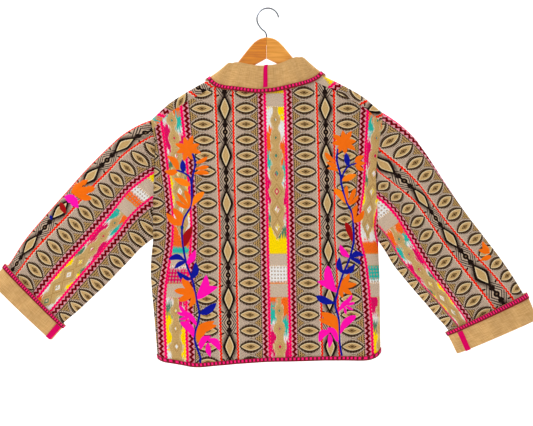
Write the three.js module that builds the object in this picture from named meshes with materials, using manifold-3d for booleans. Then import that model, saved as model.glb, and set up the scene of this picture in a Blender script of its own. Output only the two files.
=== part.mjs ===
// A short, boxy jacquard jacket on a wooden coat hanger, seen from its back along +Y.
// Millimetres, +Z up. The origin is the inside top of the hanger's hook, where a rod or peg holds it.
// -X is the wearer's left, -Y the outside of the back, +Y the outside of the fronts.
import * as THREE from "three";
import { mergeVertices } from "three/addons/utils/BufferGeometryUtils.js";
import Module from "manifold-3d";

// ---------------------------------------------------------------- driving dimensions
const CLOTH = 2; // jacquard with its plain backing
const BRAID = 1.8; // woven edge braid
const TAPE = 1; // seam tape
const SEAM_GAP = 0.3; // between pieces that are sewn to each other
const BRAID_WIDTH = 10;
const TAPE_WIDTH = 11;
const TILT = 0.0314; // the hanger hangs 1.8 degrees off level, right side up

const RIDGE_RADIUS = 9; // the cloth's bend over the hanger's arms
const BACK_DEPTH = 30; // from the middle of the jacket to the back, at the chest
const FRONT_DEPTH = 34;
const DRAPE = 260; // below the shoulder line the cloth has come this depth by here
const SIDE_ROUND = 45; // width of the rounded turn at each side
const SEAM_DROP = 22; // the shoulder seam lies this far down the back
const NECK_HALF = 90;
const BACK_NECK_DIP = 10; // the back neckline's dip at the centre
const ARMPIT = { left: -527, right: -532 };
const ARMHOLE_ROUND = 70; // height of the rounded foot of the armhole
const FRONT_GAP = 3; // half of the gap between the two fronts
const CHEST = 258; // mean half width

const CUFF_TURN = 50; // width of the turned-up cuff
const CUFF_LIFT = 4; // from the sleeve's cloth to the cuff's
const BODY_ROWS = 20;

const HANGER_HALF = 225;
const HANGER_THICK = 12;
const HANGER_SWEEP = 18; // the arms' tips lie this far forward
const WIRE = 3.9; // hook wire
const HOOK_RADIUS = 25; // to the middle of the wire
const STEM_DEPTH = 18; // of the hook's stem in the wood

// ---------------------------------------------------------------- outlines
// The shoulder line, out from the centre, as it would hang level. Inside the neck it is only a guide.
const SHOULDER = [
  { out: 0, z: -128 },
  { out: 60, z: -131 },
  { out: 90, z: -139 },
  { out: 140, z: -163 },
  { out: 176, z: -181.5 },
  { out: 200, z: -195 },
  { out: 224, z: -210 },
  { out: 245, z: -227.5 },
  { out: 268, z: -247 },
];
// Half widths of the body, from the armhole seams at the top to the side seams.
const SIDES = [
  { z: -822, left: 244, right: 258 },
  { z: -790, left: 250, right: 261 },
  { z: -720, left: 256, right: 260 },
  { z: -614, left: 265, right: 259 },
  { z: -573, left: 264, right: 257 },
  { z: -530, left: 260, right: 256 },
  { z: -471, left: 260, right: 254 },
  { z: -380, left: 258, right: 251 },
  { z: -325, left: 257, right: 257 },
  { z: -246, left: 267, right: 268 },
  { z: -130, left: 267, right: 268 },
];
const HEM = [
  { x: -262, z: -784 },
  { x: -242, z: -806 },
  { x: -214, z: -813 },
  { x: -164, z: -821 },
  { x: -114, z: -818 },
  { x: -64, z: -814 },
  { x: 8, z: -809 },
  { x: 62, z: -808 },
  { x: 162, z: -806 },
  { x: 226, z: -806 },
  { x: 249, z: -799 },
  { x: 262, z: -785 },
];
// The inner edge of each front: the roll of the lapel, and then straight down.
const FRONT_EDGE = [
  { z: -830, out: FRONT_GAP },
  { z: -500, out: FRONT_GAP },
  { z: -445, out: FRONT_GAP },
  { z: -415, out: 4 },
  { z: -350, out: 26 },
  { z: -258, out: 54 },
  { z: -190, out: 76 },
  { z: -158, out: 88 },
  { z: -134, out: NECK_HALF },
];
// Soft folds: a trough (depth under 0) or ridge (over 0) that starts at z and opens towards the hem.
const BACK_FOLDS = [
  { x: -205, z: -500, lean: 0.06, width: 20, depth: -5 },
  { x: -168, z: -560, lean: 0.02, width: 24, depth: 5 },
  { x: -60, z: -610, lean: -0.05, width: 26, depth: -4 },
  { x: 30, z: -520, lean: 0.03, width: 30, depth: 4 },
  { x: 120, z: -590, lean: 0.05, width: 24, depth: -4.5 },
  { x: 205, z: -480, lean: -0.04, width: 20, depth: -5 },
];
const FRONT_FOLDS = [
  { x: -190, z: -470, lean: 0.05, width: 22, depth: -6 },
  { x: -120, z: -560, lean: -0.03, width: 26, depth: 5 },
  { x: 105, z: -600, lean: 0.04, width: 24, depth: 5 },
  { x: 180, z: -500, lean: -0.05, width: 22, depth: -6 },
];
// Sleeve stations: the top fold, the under-arm fold and half the thickness, from the armhole to the turn-up.
const SLEEVES = {
  left: [
    { at: 0, topX: -267, topZ: -255, lowX: -260, lowZ: -527, depth: 26 },
    { at: 1, topX: -316, topZ: -278, lowX: -287, lowZ: -546, depth: 27 },
    { at: 2, topX: -363, topZ: -319, lowX: -312, lowZ: -573, depth: 27 },
    { at: 3, topX: -414, topZ: -370, lowX: -342, lowZ: -604, depth: 26 },
    { at: 4, topX: -461, topZ: -423, lowX: -372, lowZ: -635, depth: 24 },
    { at: 5, topX: -509, topZ: -477, lowX: -403, lowZ: -664, depth: 22 },
    { at: 6, topX: -555, topZ: -532, lowX: -435, lowZ: -694, depth: 20 },
    { at: 7, topX: -594, topZ: -591, lowX: -468, lowZ: -722, depth: 18 },
    { at: 8, topX: -632, topZ: -630, lowX: -498, lowZ: -758, depth: 18 },
  ],
  right: [
    { at: 0, topX: 268, topZ: -239, lowX: 256, lowZ: -532, depth: 26 },
    { at: 1, topX: 321, topZ: -276, lowX: 275, lowZ: -558, depth: 27 },
    { at: 2, topX: 363, topZ: -329, lowX: 292, lowZ: -587, depth: 27 },
    { at: 3, topX: 407, topZ: -396, lowX: 316, lowZ: -617, depth: 26 },
    { at: 4, topX: 451, topZ: -461, lowX: 341, lowZ: -647, depth: 24 },
    { at: 5, topX: 498, topZ: -523, lowX: 367, lowZ: -677, depth: 22 },
    { at: 6, topX: 547, topZ: -588, lowX: 392, lowZ: -707, depth: 20 },
    { at: 7, topX: 590, topZ: -656, lowX: 419, lowZ: -739, depth: 18 },
    { at: 8, topX: 619, topZ: -716, lowX: 443, lowZ: -791, depth: 18 },
  ],
};
const LAST = 8; // the station at the cuff's fold
const CUFF_AT = 7; // the station at the cuff's braid
// Creases across the sleeves: at a station, and at a height from 1 at the top fold to -1 under the arm.
const SLEEVE_FOLDS = [
  { at: 0.9, high: -0.5, slope: 0.25, width: 0.22, depth: -5 },
  { at: 1.6, high: -0.65, slope: 0.3, width: 0.2, depth: 4 },
  { at: 2.3, high: -0.35, slope: 0.2, width: 0.25, depth: -4 },
  { at: 4.4, high: 0.2, slope: -0.2, width: 0.35, depth: -3 },
  { at: 5.6, high: -0.3, slope: 0.2, width: 0.3, depth: 3 },
];
// The collar from one lapel's foot round the back neck to the other. neck and edge lie on the body at x
// and at a distance over the shoulder line, back under 0; rise is from the neckline to the fold.
const COLLAR = [
  [-1, -6, 272, 2, 3.2, 0, 2, -24, 283],
  [-0.88, -27, 214, 4, 4, 0, 2.2, -74, 234],
  [-0.74, -53, 128, 5, 4.5, 2, 2.4, -118, 152],
  [-0.58, -76, 56, 6, 5, 5, 2.8, -138, 82],
  [-0.47, -86, 24, 6, 3, 11, 3.2, -141, 30],
  [-0.38, -89, 0, 5, 0, 14, 3.6, -135, -4],
  [-0.28, -80, -31, 4, -1, 37, 4, -108, -38],
  [-0.15, -45, -43, 4, -2, 39.5, 4, -62, -62],
  [0, 0, -47, 0, -2, 38, 4, -3, -71],
  [0.15, 45, -43, -5, -2, 42, 4, 62, -58],
  [0.28, 80, -31, -7, -1, 45, 4, 104, -33],
  [0.38, 89, 0, -8, 0, 21, 3.6, 131, -1],
  [0.47, 86, 24, -7, 3, 14, 3.2, 138, 32],
  [0.58, 76, 56, -6, 5, 5, 2.8, 138, 82],
  [0.74, 53, 128, -5, 4.5, 2, 2.4, 118, 152],
  [0.88, 27, 214, -4, 4, 0, 2.2, 74, 234],
  [1, 6, 272, -2, 3.2, 0, 2, 24, 283],
].map(([w, neckX, neckOver, riseX, riseY, riseZ, roll, edgeX, edgeOver]) => {
  return { w, neckX, neckOver, riseX, riseY, riseZ, roll, edgeX, edgeOver };
});
// The hanger's upper edge out from its centre, until it follows the shoulder line.
const HANGER_TOP = [
  { out: 0, z: -65 },
  { out: 14, z: -67.5 },
  { out: 28, z: -75.5 },
  { out: 40, z: -88 },
  { out: 64, z: -118 },
  { out: 78, z: -134 },
  { out: 88, z: -143 },
  { out: 100, z: -148.5 },
];
const HANGER_FOOT = { centre: -114.5, slope: -0.52 };

// ---------------------------------------------------------------- helpers
// A smooth curve through a table's rows, which runs on straight past its ends.
function smooth(rows, at, column) {
  const x = rows.map((row) => row[at]);
  const y = rows.map((row) => row[column]);
  const last = x.length - 1;
  const slope = x.map((_, i) => {
    const a = Math.max(i - 1, 0);
    const b = Math.min(i + 1, last);
    return (y[b] - y[a]) / (x[b] - x[a]);
  });
  return (p) => {
    if (p <= x[0]) return y[0] + (p - x[0]) * slope[0];
    if (p >= x[last]) return y[last] + (p - x[last]) * slope[last];
    const i = x.findIndex((value) => value >= p);
    const h = x[i] - x[i - 1];
    const t = (p - x[i - 1]) / h;
    const bend = t * (1 - t);
    const straight = y[i - 1] + (y[i] - y[i - 1]) * t;
    const chord = (y[i] - y[i - 1]) / h;
    return straight + h * bend * ((slope[i - 1] - chord) * (1 - t) - (slope[i] - chord) * t);
  };
}

function ease(t) {
  const s = Math.min(Math.max(t, 0), 1);
  return s * s * (3 - 2 * s);
}

const lerp = THREE.MathUtils.lerp;

// count + 1 numbers from a to b.
function steps(a, b, count) {
  return Array.from({ length: count + 1 }, (_, i) => lerp(a, b, i / count));
}

// The unit normal of surface(r, q), from differences: across the rows by q, along them by r.
const NUDGE = 1e-3;
function normalOf(surface, r, q, rowsEnd = [-Infinity, Infinity]) {
  const r0 = Math.max(r - NUDGE, rowsEnd[0]);
  const r1 = Math.min(r + NUDGE, rowsEnd[1]);
  const along = surface(r1, q).sub(surface(r0, q));
  const across = surface(r, q + NUDGE).sub(surface(r, q - NUDGE));
  return across.cross(along).normalize();
}

// The same surface moved out along its normals.
function lifted(surface, lift, rowsEnd) {
  return (r, q) => surface(r, q).addScaledVector(normalOf(surface, r, q, rowsEnd), lift);
}

// A closed mesh from a grid of outer and inner points. A ring's columns close on themselves.
function closedGrid(outer, inner, ring) {
  const rows = outer.length;
  const cols = outer[0].length;
  const positions = [];
  for (const grid of [outer, inner]) {
    for (const row of grid) {
      for (const p of row) positions.push(p.x, p.y, p.z);
    }
  }
  const index = [];
  const id = (layer, i, j) => layer * rows * cols + i * cols + (j % cols);
  const quad = (a, b, c, d) => index.push(a, b, c, a, c, d);
  const lastCol = ring ? cols : cols - 1;
  for (let i = 0; i < rows - 1; i += 1) {
    for (let j = 0; j < lastCol; j += 1) {
      quad(id(0, i, j), id(0, i, j + 1), id(0, i + 1, j + 1), id(0, i + 1, j));
      quad(id(1, i, j), id(1, i + 1, j), id(1, i + 1, j + 1), id(1, i, j + 1));
    }
    if (!ring) {
      quad(id(0, i, 0), id(0, i + 1, 0), id(1, i + 1, 0), id(1, i, 0));
      quad(id(0, i, cols - 1), id(1, i, cols - 1), id(1, i + 1, cols - 1), id(0, i + 1, cols - 1));
    }
  }
  for (let j = 0; j < lastCol; j += 1) {
    quad(id(0, 0, j), id(1, 0, j), id(1, 0, j + 1), id(0, 0, j + 1));
    quad(id(0, rows - 1, j), id(0, rows - 1, j + 1), id(1, rows - 1, j + 1), id(1, rows - 1, j));
  }
  const geometry = new THREE.BufferGeometry();
  geometry.setAttribute("position", new THREE.Float32BufferAttribute(positions, 3));
  geometry.setIndex(index);
  return geometry;
}

// A cloth wall on surface(r, q): half its thickness to each side, with its edges closed.
function wall(surface, rows, cols, { thick = CLOTH, ring = false, turn = null, rowsEnd } = {}) {
  const layer = (side) =>
    rows.map((r) =>
      cols.map((q) => {
        const n = normalOf(surface, r, q, rowsEnd);
        if (turn) turn(n, r, q);
        return surface(r, q).addScaledVector(n, (side * thick) / 2);
      }),
    );
  return closedGrid(layer(1), layer(-1), ring);
}

const jacket = new THREE.Group();
jacket.name = "jacquard_jacket";
function add(name, geometry, material) {
  geometry.computeVertexNormals();
  const mesh = new THREE.Mesh(geometry, material);
  mesh.name = name;
  jacket.add(mesh);
}

const jacquard = new THREE.MeshStandardMaterial({ color: 0xb9a184, roughness: 0.9, metalness: 0 });
const plainCloth = new THREE.MeshStandardMaterial({ color: 0xc6a071, roughness: 0.9, metalness: 0 });
const braid = new THREE.MeshStandardMaterial({ color: 0xc4093f, roughness: 0.85, metalness: 0 });
const tape = new THREE.MeshStandardMaterial({ color: 0xd4056a, roughness: 0.8, metalness: 0 });
const wood = new THREE.MeshStandardMaterial({ color: 0xdb9038, roughness: 0.45, metalness: 0 });
const steel = new THREE.MeshStandardMaterial({ color: 0x9a9da5, roughness: 0.25, metalness: 1 });

// ---------------------------------------------------------------- the body's surface
const shoulderZ = smooth(SHOULDER, "out", "z");
const leftSide = smooth(SIDES, "z", "left");
const rightSide = smooth(SIDES, "z", "right");
const hemZ = smooth(HEM, "x", "z");
const frontEdge = smooth(FRONT_EDGE, "z", "out");
const ridge = (x) => shoulderZ(Math.abs(x)) + TILT * x;
const halfWidth = (side, z) => (side < 0 ? leftSide(z) : rightSide(z));
const armpit = (side) => (side < 0 ? ARMPIT.left : ARMPIT.right);

// How far the cloth stands off the middle, at a depth below the shoulder line.
function standOff(depth, full) {
  if (depth <= 0) return 0;
  if (depth < RIDGE_RADIUS) return Math.sqrt(2 * RIDGE_RADIUS * depth - depth * depth);
  return RIDGE_RADIUS + (full - RIDGE_RADIUS) * ease((depth - RIDGE_RADIUS) / DRAPE);
}

// 0 at the closed side seam, 1 where the armhole stands fully open.
function openness(side, z) {
  const up = (z - armpit(side)) / ARMHOLE_ROUND;
  if (up <= 0) return 0;
  return up >= 1 ? 1 : Math.sqrt(1 - (1 - up) * (1 - up));
}

function foldsAt(folds, x, z) {
  return folds.reduce((sum, fold) => {
    const below = fold.z - z;
    const off = (x - fold.x - fold.lean * below) / fold.width;
    return sum + fold.depth * ease(below / 220) * Math.exp(-off * off);
  }, 0);
}

// The arms of the hanger lie forward at their tips, and the cloth follows near the shoulder.
function sweep(x) {
  const out = Math.min(Math.abs(x) / HANGER_HALF, 1.15);
  return HANGER_SWEEP * out * out;
}
const middle = (x, depth) => sweep(x) * (1 - ease(depth / 330));

// Over the shoulder line: 0 on it, under 0 down the back, over 0 down the front, in millimetres of cloth.
const QUARTER = (RIDGE_RADIUS * Math.PI) / 2;
function depthOf(over) {
  const run = Math.abs(over);
  if (run < QUARTER) return RIDGE_RADIUS * (1 - Math.cos(run / RIDGE_RADIUS));
  return RIDGE_RADIUS + run - QUARTER;
}
const overOf = (depth) => depth - RIDGE_RADIUS + QUARTER;

// across runs from -1 at the left side to 1 at the right. Its last part is the rounded turn at the side.
const FLAT_SHARE = 0.8;
function sidePlace(across, z) {
  const side = across < 0 ? -1 : 1;
  const share = Math.abs(across);
  const turned = Math.max((share - FLAT_SHARE) / (1 - FLAT_SHARE), 0);
  const end = Math.acos(openness(side, z));
  const flat = (halfWidth(side, z) - SIDE_ROUND) * Math.min(share / FLAT_SHARE, 1);
  const reach = end > 1e-3 ? Math.sin(end * turned) / Math.sin(end) : turned;
  return { x: side * (flat + SIDE_ROUND * reach), kept: Math.cos(end * turned) };
}
const SHOULDER_Z = -200;
const HEM_Z = -810;
const shoulderX = (across) => sidePlace(across, SHOULDER_Z).x;
const hemX = (across) => sidePlace(across, HEM_Z).x;

// A point of the body at a height, on the back or on the front.
function bodyPoint(across, z, onBack) {
  const { x, kept } = sidePlace(across, z);
  const depth = ridge(x) - z;
  const stand = standOff(depth, onBack ? BACK_DEPTH : FRONT_DEPTH);
  const folds = foldsAt(onBack ? BACK_FOLDS : FRONT_FOLDS, x, z);
  return new THREE.Vector3(x, middle(x, depth) + (onBack ? -1 : 1) * (stand + folds) * kept, z);
}

// The value of across at a given x, on the flat part.
function acrossOf(x, z) {
  return (x / (halfWidth(Math.sign(x), z) - SIDE_ROUND)) * FLAT_SHARE;
}

// A point of the body by its x and its distance over the shoulder line.
function bodyAtX(x, over) {
  const z = ridge(x) - depthOf(over);
  return bodyPoint(acrossOf(x, z), z, over < 0);
}

// At the armholes the panel's cut edge is kept square to the seam.
function squareEdge(n, side, z) {
  n.x *= 1 - openness(side, z);
  n.normalize();
}

// ---------------------------------------------------------------- back panel
function backTopZ(x) {
  const out = Math.max(Math.abs(x), NECK_HALF);
  const inside = 1 - Math.abs(x) / NECK_HALF;
  return shoulderZ(out) + TILT * x - SEAM_DROP - BACK_NECK_DIP * ease(inside * 1.3);
}
// Its columns run from right to left, so that across and down give the way out of the cloth.
const backZ = (r, across) => lerp(backTopZ(shoulderX(across)), hemZ(hemX(across)), r);
const back = (r, q) => bodyPoint(-q, backZ(r, -q), true);
const squareBack = (n, r, q) => {
  if (Math.abs(q) > 0.99) squareEdge(n, -Math.sign(q), backZ(r, -q));
};

const SIDE_CUT = 0.0012; // leaves the seam gap at the side seams
const halfBack = [...steps(0, FLAT_SHARE, 9), ...steps(FLAT_SHARE, 1 - SIDE_CUT, 5).slice(1)];
const backColumns = [...halfBack.slice(1).reverse().map((q) => -q), ...halfBack];
add("back_panel", wall(back, steps(0, 1, BODY_ROWS), backColumns, { turn: squareBack }), jacquard);

// The braid lies on the cloth: its middle is this far out from the cloth's.
const BRAID_LIFT = CLOTH / 2 + SEAM_GAP * 1.5 + BRAID / 2;
const TAPE_LIFT = CLOTH / 2 + SEAM_GAP * 1.5 + TAPE / 2;
const backHem = (r, q) => bodyPoint(-q, hemZ(hemX(-q)) + BRAID_WIDTH * (1 - r), true);
add("hem_braid_back", wall(lifted(backHem, BRAID_LIFT), [0, 1], backColumns, { thick: BRAID }), braid);

// ---------------------------------------------------------------- front panels
// Each front starts at the seam on the back, goes over the shoulder and down to the hem.
// Its first rows are at these distances over the shoulder line, closer where the cloth bends.
const WRAP = [-overOf(SEAM_DROP) + SEAM_GAP, -18, -12, -7, -3.5, 0, 3.5, 7, 12, 18, 30];
const WRAP_ROWS = WRAP.length - 1;
const FRONT_ROWS = WRAP_ROWS + BODY_ROWS;
function wrapOver(row) {
  const from = Math.min(Math.max(Math.floor(row), 0), WRAP_ROWS - 1);
  return lerp(WRAP[from], WRAP[from + 1], Math.min(row, WRAP_ROWS) - from);
}
const frontColumns = [...steps(0, 0.72, 8), ...steps(0.72, 1 - SIDE_CUT, 5).slice(1)];

// row and q (0 at the inner edge, 1 at the side) as a height and a place across.
function frontPlace(side, row, q) {
  const over = wrapOver(row);
  const inner = over < 0 ? NECK_HALF : frontEdge(shoulderZ(NECK_HALF) - depthOf(over));
  const topAcross = side * lerp(acrossOf(inner, SHOULDER_Z), 1, q);
  const topX = shoulderX(topAcross);
  const topZ = ridge(topX) - depthOf(over);
  if (row <= WRAP_ROWS) return { across: topAcross, z: topZ, onBack: over < 0 };
  const footX = hemX(side * lerp(acrossOf(FRONT_GAP, HEM_Z), 1, q));
  const z = lerp(topZ, hemZ(footX), (row - WRAP_ROWS) / BODY_ROWS);
  return { across: side * lerp(acrossOf(frontEdge(z), z), 1, q), z, onBack: false };
}

const LAPEL_FOOT = -424; // the front's own braid starts under the lapel
for (const [name, side] of [
  ["left", -1],
  ["right", 1],
]) {
  // Columns run with x on the front's outside, so the left front's run from its side inwards.
  const outOf = (q) => (side < 0 ? 1 - q : q);
  const columnsOf = (list) => (side < 0 ? list.map((q) => 1 - q).reverse() : list);
  const front = (row, q) => {
    const { across, z, onBack } = frontPlace(side, row, outOf(q));
    return bodyPoint(across, z, onBack);
  };
  const square = (n, row, q) => {
    if (outOf(q) > 0.99) squareEdge(n, side, frontPlace(side, row, outOf(q)).z);
  };
  const rows = steps(0, FRONT_ROWS, FRONT_ROWS);
  add(`front_${name}`, wall(front, rows, columnsOf(frontColumns), { turn: square }), jacquard);

  const frontWidth = CHEST - FRONT_GAP;
  const hem = (r, q) => {
    const across = side * lerp(acrossOf(FRONT_GAP, HEM_Z), 1, outOf(q));
    return bodyPoint(across, hemZ(hemX(across)) + BRAID_WIDTH * (1 - r), false);
  };
  const besideEdge = [(BRAID_WIDTH + SEAM_GAP * 2) / frontWidth, ...frontColumns.slice(1)];
  add(
    `hem_braid_front_${name}`,
    wall(lifted(hem, BRAID_LIFT), [0, 1], columnsOf(besideEdge), { thick: BRAID }),
    braid,
  );
  const edgeRows = rows.filter((row) => frontPlace(side, row, 0).z < LAPEL_FOOT);
  add(
    `front_braid_${name}`,
    wall(lifted(front, BRAID_LIFT), edgeRows, columnsOf([0, BRAID_WIDTH / frontWidth]), { thick: BRAID }),
    braid,
  );
}

// ---------------------------------------------------------------- sleeves, cuffs, their braid and tape
function sleeve(name) {
  const side = name === "left" ? -1 : 1;
  const read = {};
  for (const column of ["topX", "topZ", "lowX", "lowZ", "depth"]) {
    read[column] = smooth(SLEEVES[name], "at", column);
  }
  const topZ = ridge(side * 268);
  return (at, around) => {
    const angle = around * 2 * Math.PI;
    const high = Math.cos(angle);
    const out = -Math.sin(angle) * side;
    const ahead = out > 0 ? 1 : -1;
    const x = lerp(read.lowX(at), read.topX(at), (1 + high) / 2);
    const z = lerp(read.lowZ(at), read.topZ(at), (1 + high) / 2);
    const bulge = SLEEVE_FOLDS.reduce((sum, fold) => {
      const off = (at - fold.at - fold.slope * (high - fold.high)) / fold.width;
      const reach = (high - fold.high) / 0.55;
      return sum + fold.depth * Math.exp(-off * off - reach * reach);
    }, 0);
    const y = out * (read.depth(at) + bulge);
    const seamZ = lerp(armpit(side), topZ, (1 + high) / 2);
    const open = openness(side, seamZ);
    const depth = topZ - seamZ;
    const seam = new THREE.Vector3(
      side * (halfWidth(side, seamZ) + SEAM_GAP + (CLOTH / 2) * Math.sqrt(1 - open * open)),
      middle(side * 268, depth) + ahead * standOff(depth, ahead < 0 ? BACK_DEPTH : FRONT_DEPTH) * open,
      seamZ,
    );
    return seam.lerp(new THREE.Vector3(x, y, z), ease(at / 1.6));
  };
}

// Columns round a sleeve, closer at the folds: each turns the surface by about as much as the next.
const SLEEVE_SLIM = 5; // the section's width over its thickness
const quarterTurns = [0, 22, 45, 66, 79, 86].map((degrees) => {
  const turn = THREE.MathUtils.degToRad(degrees);
  return Math.atan(Math.tan(turn) / SLEEVE_SLIM) / (2 * Math.PI);
});
const halfTurn = [...quarterTurns, 0.25, ...quarterTurns.slice(1).reverse().map((q) => 0.5 - q)];
const AROUND = [...halfTurn, ...halfTurn.map((q) => q + 0.5)];
// A sleeve's solid is in two halves that meet at the top fold and the under-arm fold.
const HALF_GAP = 0.0012;
const HALF_AROUND = [HALF_GAP, ...halfTurn.slice(1), 0.5 - HALF_GAP];
const SLEEVE_ENDS = [0, LAST];
const FOLD_BEFORE = 0.06; // the sleeve's cut edge is this far before the fold's station
const SLEEVE_ROWS = [0, 0.35, 0.75, ...steps(1.15, CUFF_AT, 9), LAST - FOLD_BEFORE];
const CUFF_FLARE = 2.5; // the turn-up's upper edge stands off the sleeve by this much more
const TAPES = {
  left: { around: 0.555, half: 0.027 },
  right: { around: 0.391, half: 0.0155 },
};
for (const name of ["left", "right"]) {
  const surface = sleeve(name);
  const fold = LAST - FOLD_BEFORE;
  const halves = { front: name === "left" ? 0 : 0.5, back: name === "left" ? 0.5 : 0 };
  for (const [half, start] of Object.entries(halves)) {
    const columns = HALF_AROUND.map((q) => q + start);
    add(
      `sleeve_${name}_${half}`,
      wall(surface, SLEEVE_ROWS, columns, {
        rowsEnd: SLEEVE_ENDS,
        turn: (n, at) => {
          if (at === 0) n.setX(0).normalize();
        },
      }),
      jacquard,
    );
  }

  // The turn-up: a leg outside the sleeve, and a round fold that ends against the sleeve's cut edge.
  const mean = surface(LAST, 0).add(surface(LAST, 0.5));
  const before = surface(CUFF_AT, 0).add(surface(CUFF_AT, 0.5));
  const axis = mean.sub(before).normalize();
  const turnRadius = CUFF_LIFT / 2;
  const cuff = (k, around) => {
    const at = Math.min(lerp(CUFF_AT, fold, Math.min(k, 1)), fold);
    const n = normalOf(surface, at, around, SLEEVE_ENDS);
    const bend = Math.max(k - 1, 0) * Math.PI;
    const flare = CUFF_FLARE * (1 - Math.min(k, 1));
    return surface(at, around)
      .addScaledVector(n, turnRadius + turnRadius * Math.cos(bend) + flare * Math.cos(bend))
      .addScaledVector(axis, turnRadius * Math.sin(bend) + SEAM_GAP);
  };
  const cuffRows = [0, 0.25, 0.5, 0.75, 1, 1.25, 1.5, 1.75, 2];
  const cuffEnds = [0, 2];
  add(`cuff_${name}`, wall(cuff, cuffRows, AROUND, { ring: true, rowsEnd: cuffEnds }), plainCloth);

  add(
    `cuff_braid_${name}`,
    wall(lifted(cuff, BRAID_LIFT, cuffEnds), [0, BRAID_WIDTH / CUFF_TURN], AROUND, {
      ring: true,
      thick: BRAID,
      rowsEnd: cuffEnds,
    }),
    braid,
  );
  const { around, half } = TAPES[name];
  add(
    `cuff_tape_${name}`,
    wall(
      lifted(cuff, TAPE_LIFT, cuffEnds),
      [BRAID_WIDTH / CUFF_TURN + 0.02, 0.45, 0.7, 0.95, 1.2, 1.5],
      steps(around - half, around + half, 2),
      { thick: TAPE, rowsEnd: cuffEnds },
    ),
    tape,
  );
}

// ---------------------------------------------------------------- collar, its braid and tape
const collarColumn = {};
for (const column of Object.keys(COLLAR[0]).slice(1)) {
  collarColumn[column] = smooth(COLLAR, "w", column);
}
const MM = 1 / NUDGE; // makes a nudge a millimetre
const bodyNormal = (x, over) => normalOf((r, q) => bodyAtX(x + q * MM, over + r * MM), 0, 0);
const FALL_LIFT = CLOTH + 1.4; // from the panel's cloth to the collar's at its edge

// The neckline that the collar is sewn to: the back panel's top edge, and the fronts' inner edges.
function neckPlace(w) {
  const x = collarColumn.neckX(w);
  const over = Math.abs(w) < 0.28 ? -overOf(ridge(x) - backTopZ(x)) : collarColumn.neckOver(w);
  return { x, over };
}
function neckPoint(w) {
  const { x, over } = neckPlace(w);
  const at = (v) => bodyAtX(neckPlace(v).x, neckPlace(v).over);
  const inward = bodyNormal(x, over).cross(at(w + NUDGE).sub(at(w - NUDGE))).normalize();
  return bodyAtX(x, over).addScaledVector(inward, CLOTH / 2 + SEAM_GAP * 2);
}

// The collar's section at w, as a smooth curve from the neckline over the fold to the outer edge.
function collarSection(w) {
  const read = (column) => collarColumn[column](w);
  const neck = neckPoint(w);
  const edge = bodyAtX(read("edgeX"), read("edgeOver"));
  edge.addScaledVector(bodyNormal(read("edgeX"), read("edgeOver")), FALL_LIFT);
  const fold = neck.clone().add(new THREE.Vector3(read("riseX"), read("riseY"), read("riseZ")));
  const up = fold.clone().sub(neck.clone().add(edge).multiplyScalar(0.5)).normalize();
  const out = edge.clone().sub(neck);
  out.addScaledVector(up, -out.dot(up)).normalize();
  const roll = read("roll");
  const corner = (side) => fold.clone().addScaledVector(out, side * roll).addScaledVector(up, -roll);
  return new THREE.CatmullRomCurve3([
    neck,
    neck.clone().lerp(corner(-1), 0.5),
    corner(-1),
    fold,
    corner(1),
    corner(1).lerp(edge, 0.5),
    edge,
  ]);
}
const sections = new Map();
const collar = (w, k) => {
  const key = w.toFixed(6);
  if (!sections.has(key)) sections.set(key, collarSection(w));
  const curve = sections.get(key);
  if (k < 0) return curve.getPoint(0).addScaledVector(curve.getTangent(0), k * 40);
  if (k > 1) return curve.getPoint(1).addScaledVector(curve.getTangent(1), (k - 1) * 60);
  return curve.getPoint(k);
};
const COLLAR_ENDS = [-1, 1];
// Rows lie closer where the collar goes over the shoulder line.
const halfCollar = [...steps(0, 0.28, 6), ...steps(0.28, 0.48, 9).slice(1), ...steps(0.48, 1, 9).slice(1)];
const collarRows = [...halfCollar.slice(1).reverse().map((w) => -w), ...halfCollar];
const collarColumns = [0, 0.17, 0.333, 0.42, 0.5, 0.58, 0.667, 0.78, 0.89, 1];
add("collar", wall(collar, collarRows, collarColumns, { rowsEnd: COLLAR_ENDS }), plainCloth);

// The braid on the collar's outer edge, and the tape down its middle seam, over the fold to the inside.
const FALL = 0.333; // the fall's share of the section, down to its edge
const braidStart = (w) => 1 - (FALL * BRAID_WIDTH) / collar(w, 1 - FALL).distanceTo(collar(w, 1));
const collarEdge = (w, q) => collar(w, lerp(braidStart(w), 1, q));
add(
  "collar_braid",
  wall(lifted(collarEdge, BRAID_LIFT, COLLAR_ENDS), collarRows, [0, 1], {
    thick: BRAID,
    rowsEnd: COLLAR_ENDS,
  }),
  braid,
);
const COLLAR_TURN = 413; // millimetres of neckline for w from 0 to 1
const TAPE_TURN = TAPE_WIDTH / COLLAR_TURN;
const collarTape = (r, q) => collar((q - 0.5) * TAPE_TURN, 1 - r);
add(
  "collar_tape",
  wall(lifted(collarTape, TAPE_LIFT), [0.073, 0.11, 0.22, 0.333, 0.42, 0.5, 0.58], [0, 1], { thick: TAPE }),
  tape,
);

// ---------------------------------------------------------------- the hanger
const smoothHangerTop = smooth(HANGER_TOP, "out", "z");
const CARRIES_FROM = 100; // from here out the arms carry the cloth
const UNDER_CLOTH = CLOTH / 2 + 0.84; // from the cloth's middle to the wood
const ARM_CORNER = 4;
const ARM_DEEPEST = 60;
const TIP_FROM = 205; // the rounded tip starts here
const TIP_LENGTH = 21;
const ARM_STATIONS = [
  SEAM_GAP / 2, // half of the joint between the arms
  ...[7, 14, 21, 28, 40, 52, 64, 78, 88, 100, 120, 140, 160, 180, 200, 212, 220],
  HANGER_HALF,
];
function hangerTop(x) {
  const out = Math.abs(x);
  const slope = ridge(x + Math.sign(x)) - ridge(x);
  const underCloth = ridge(x) - UNDER_CLOTH * Math.hypot(1, slope);
  return out < CARRIES_FROM ? smoothHangerTop(out) + TILT * x : underCloth;
}
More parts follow.
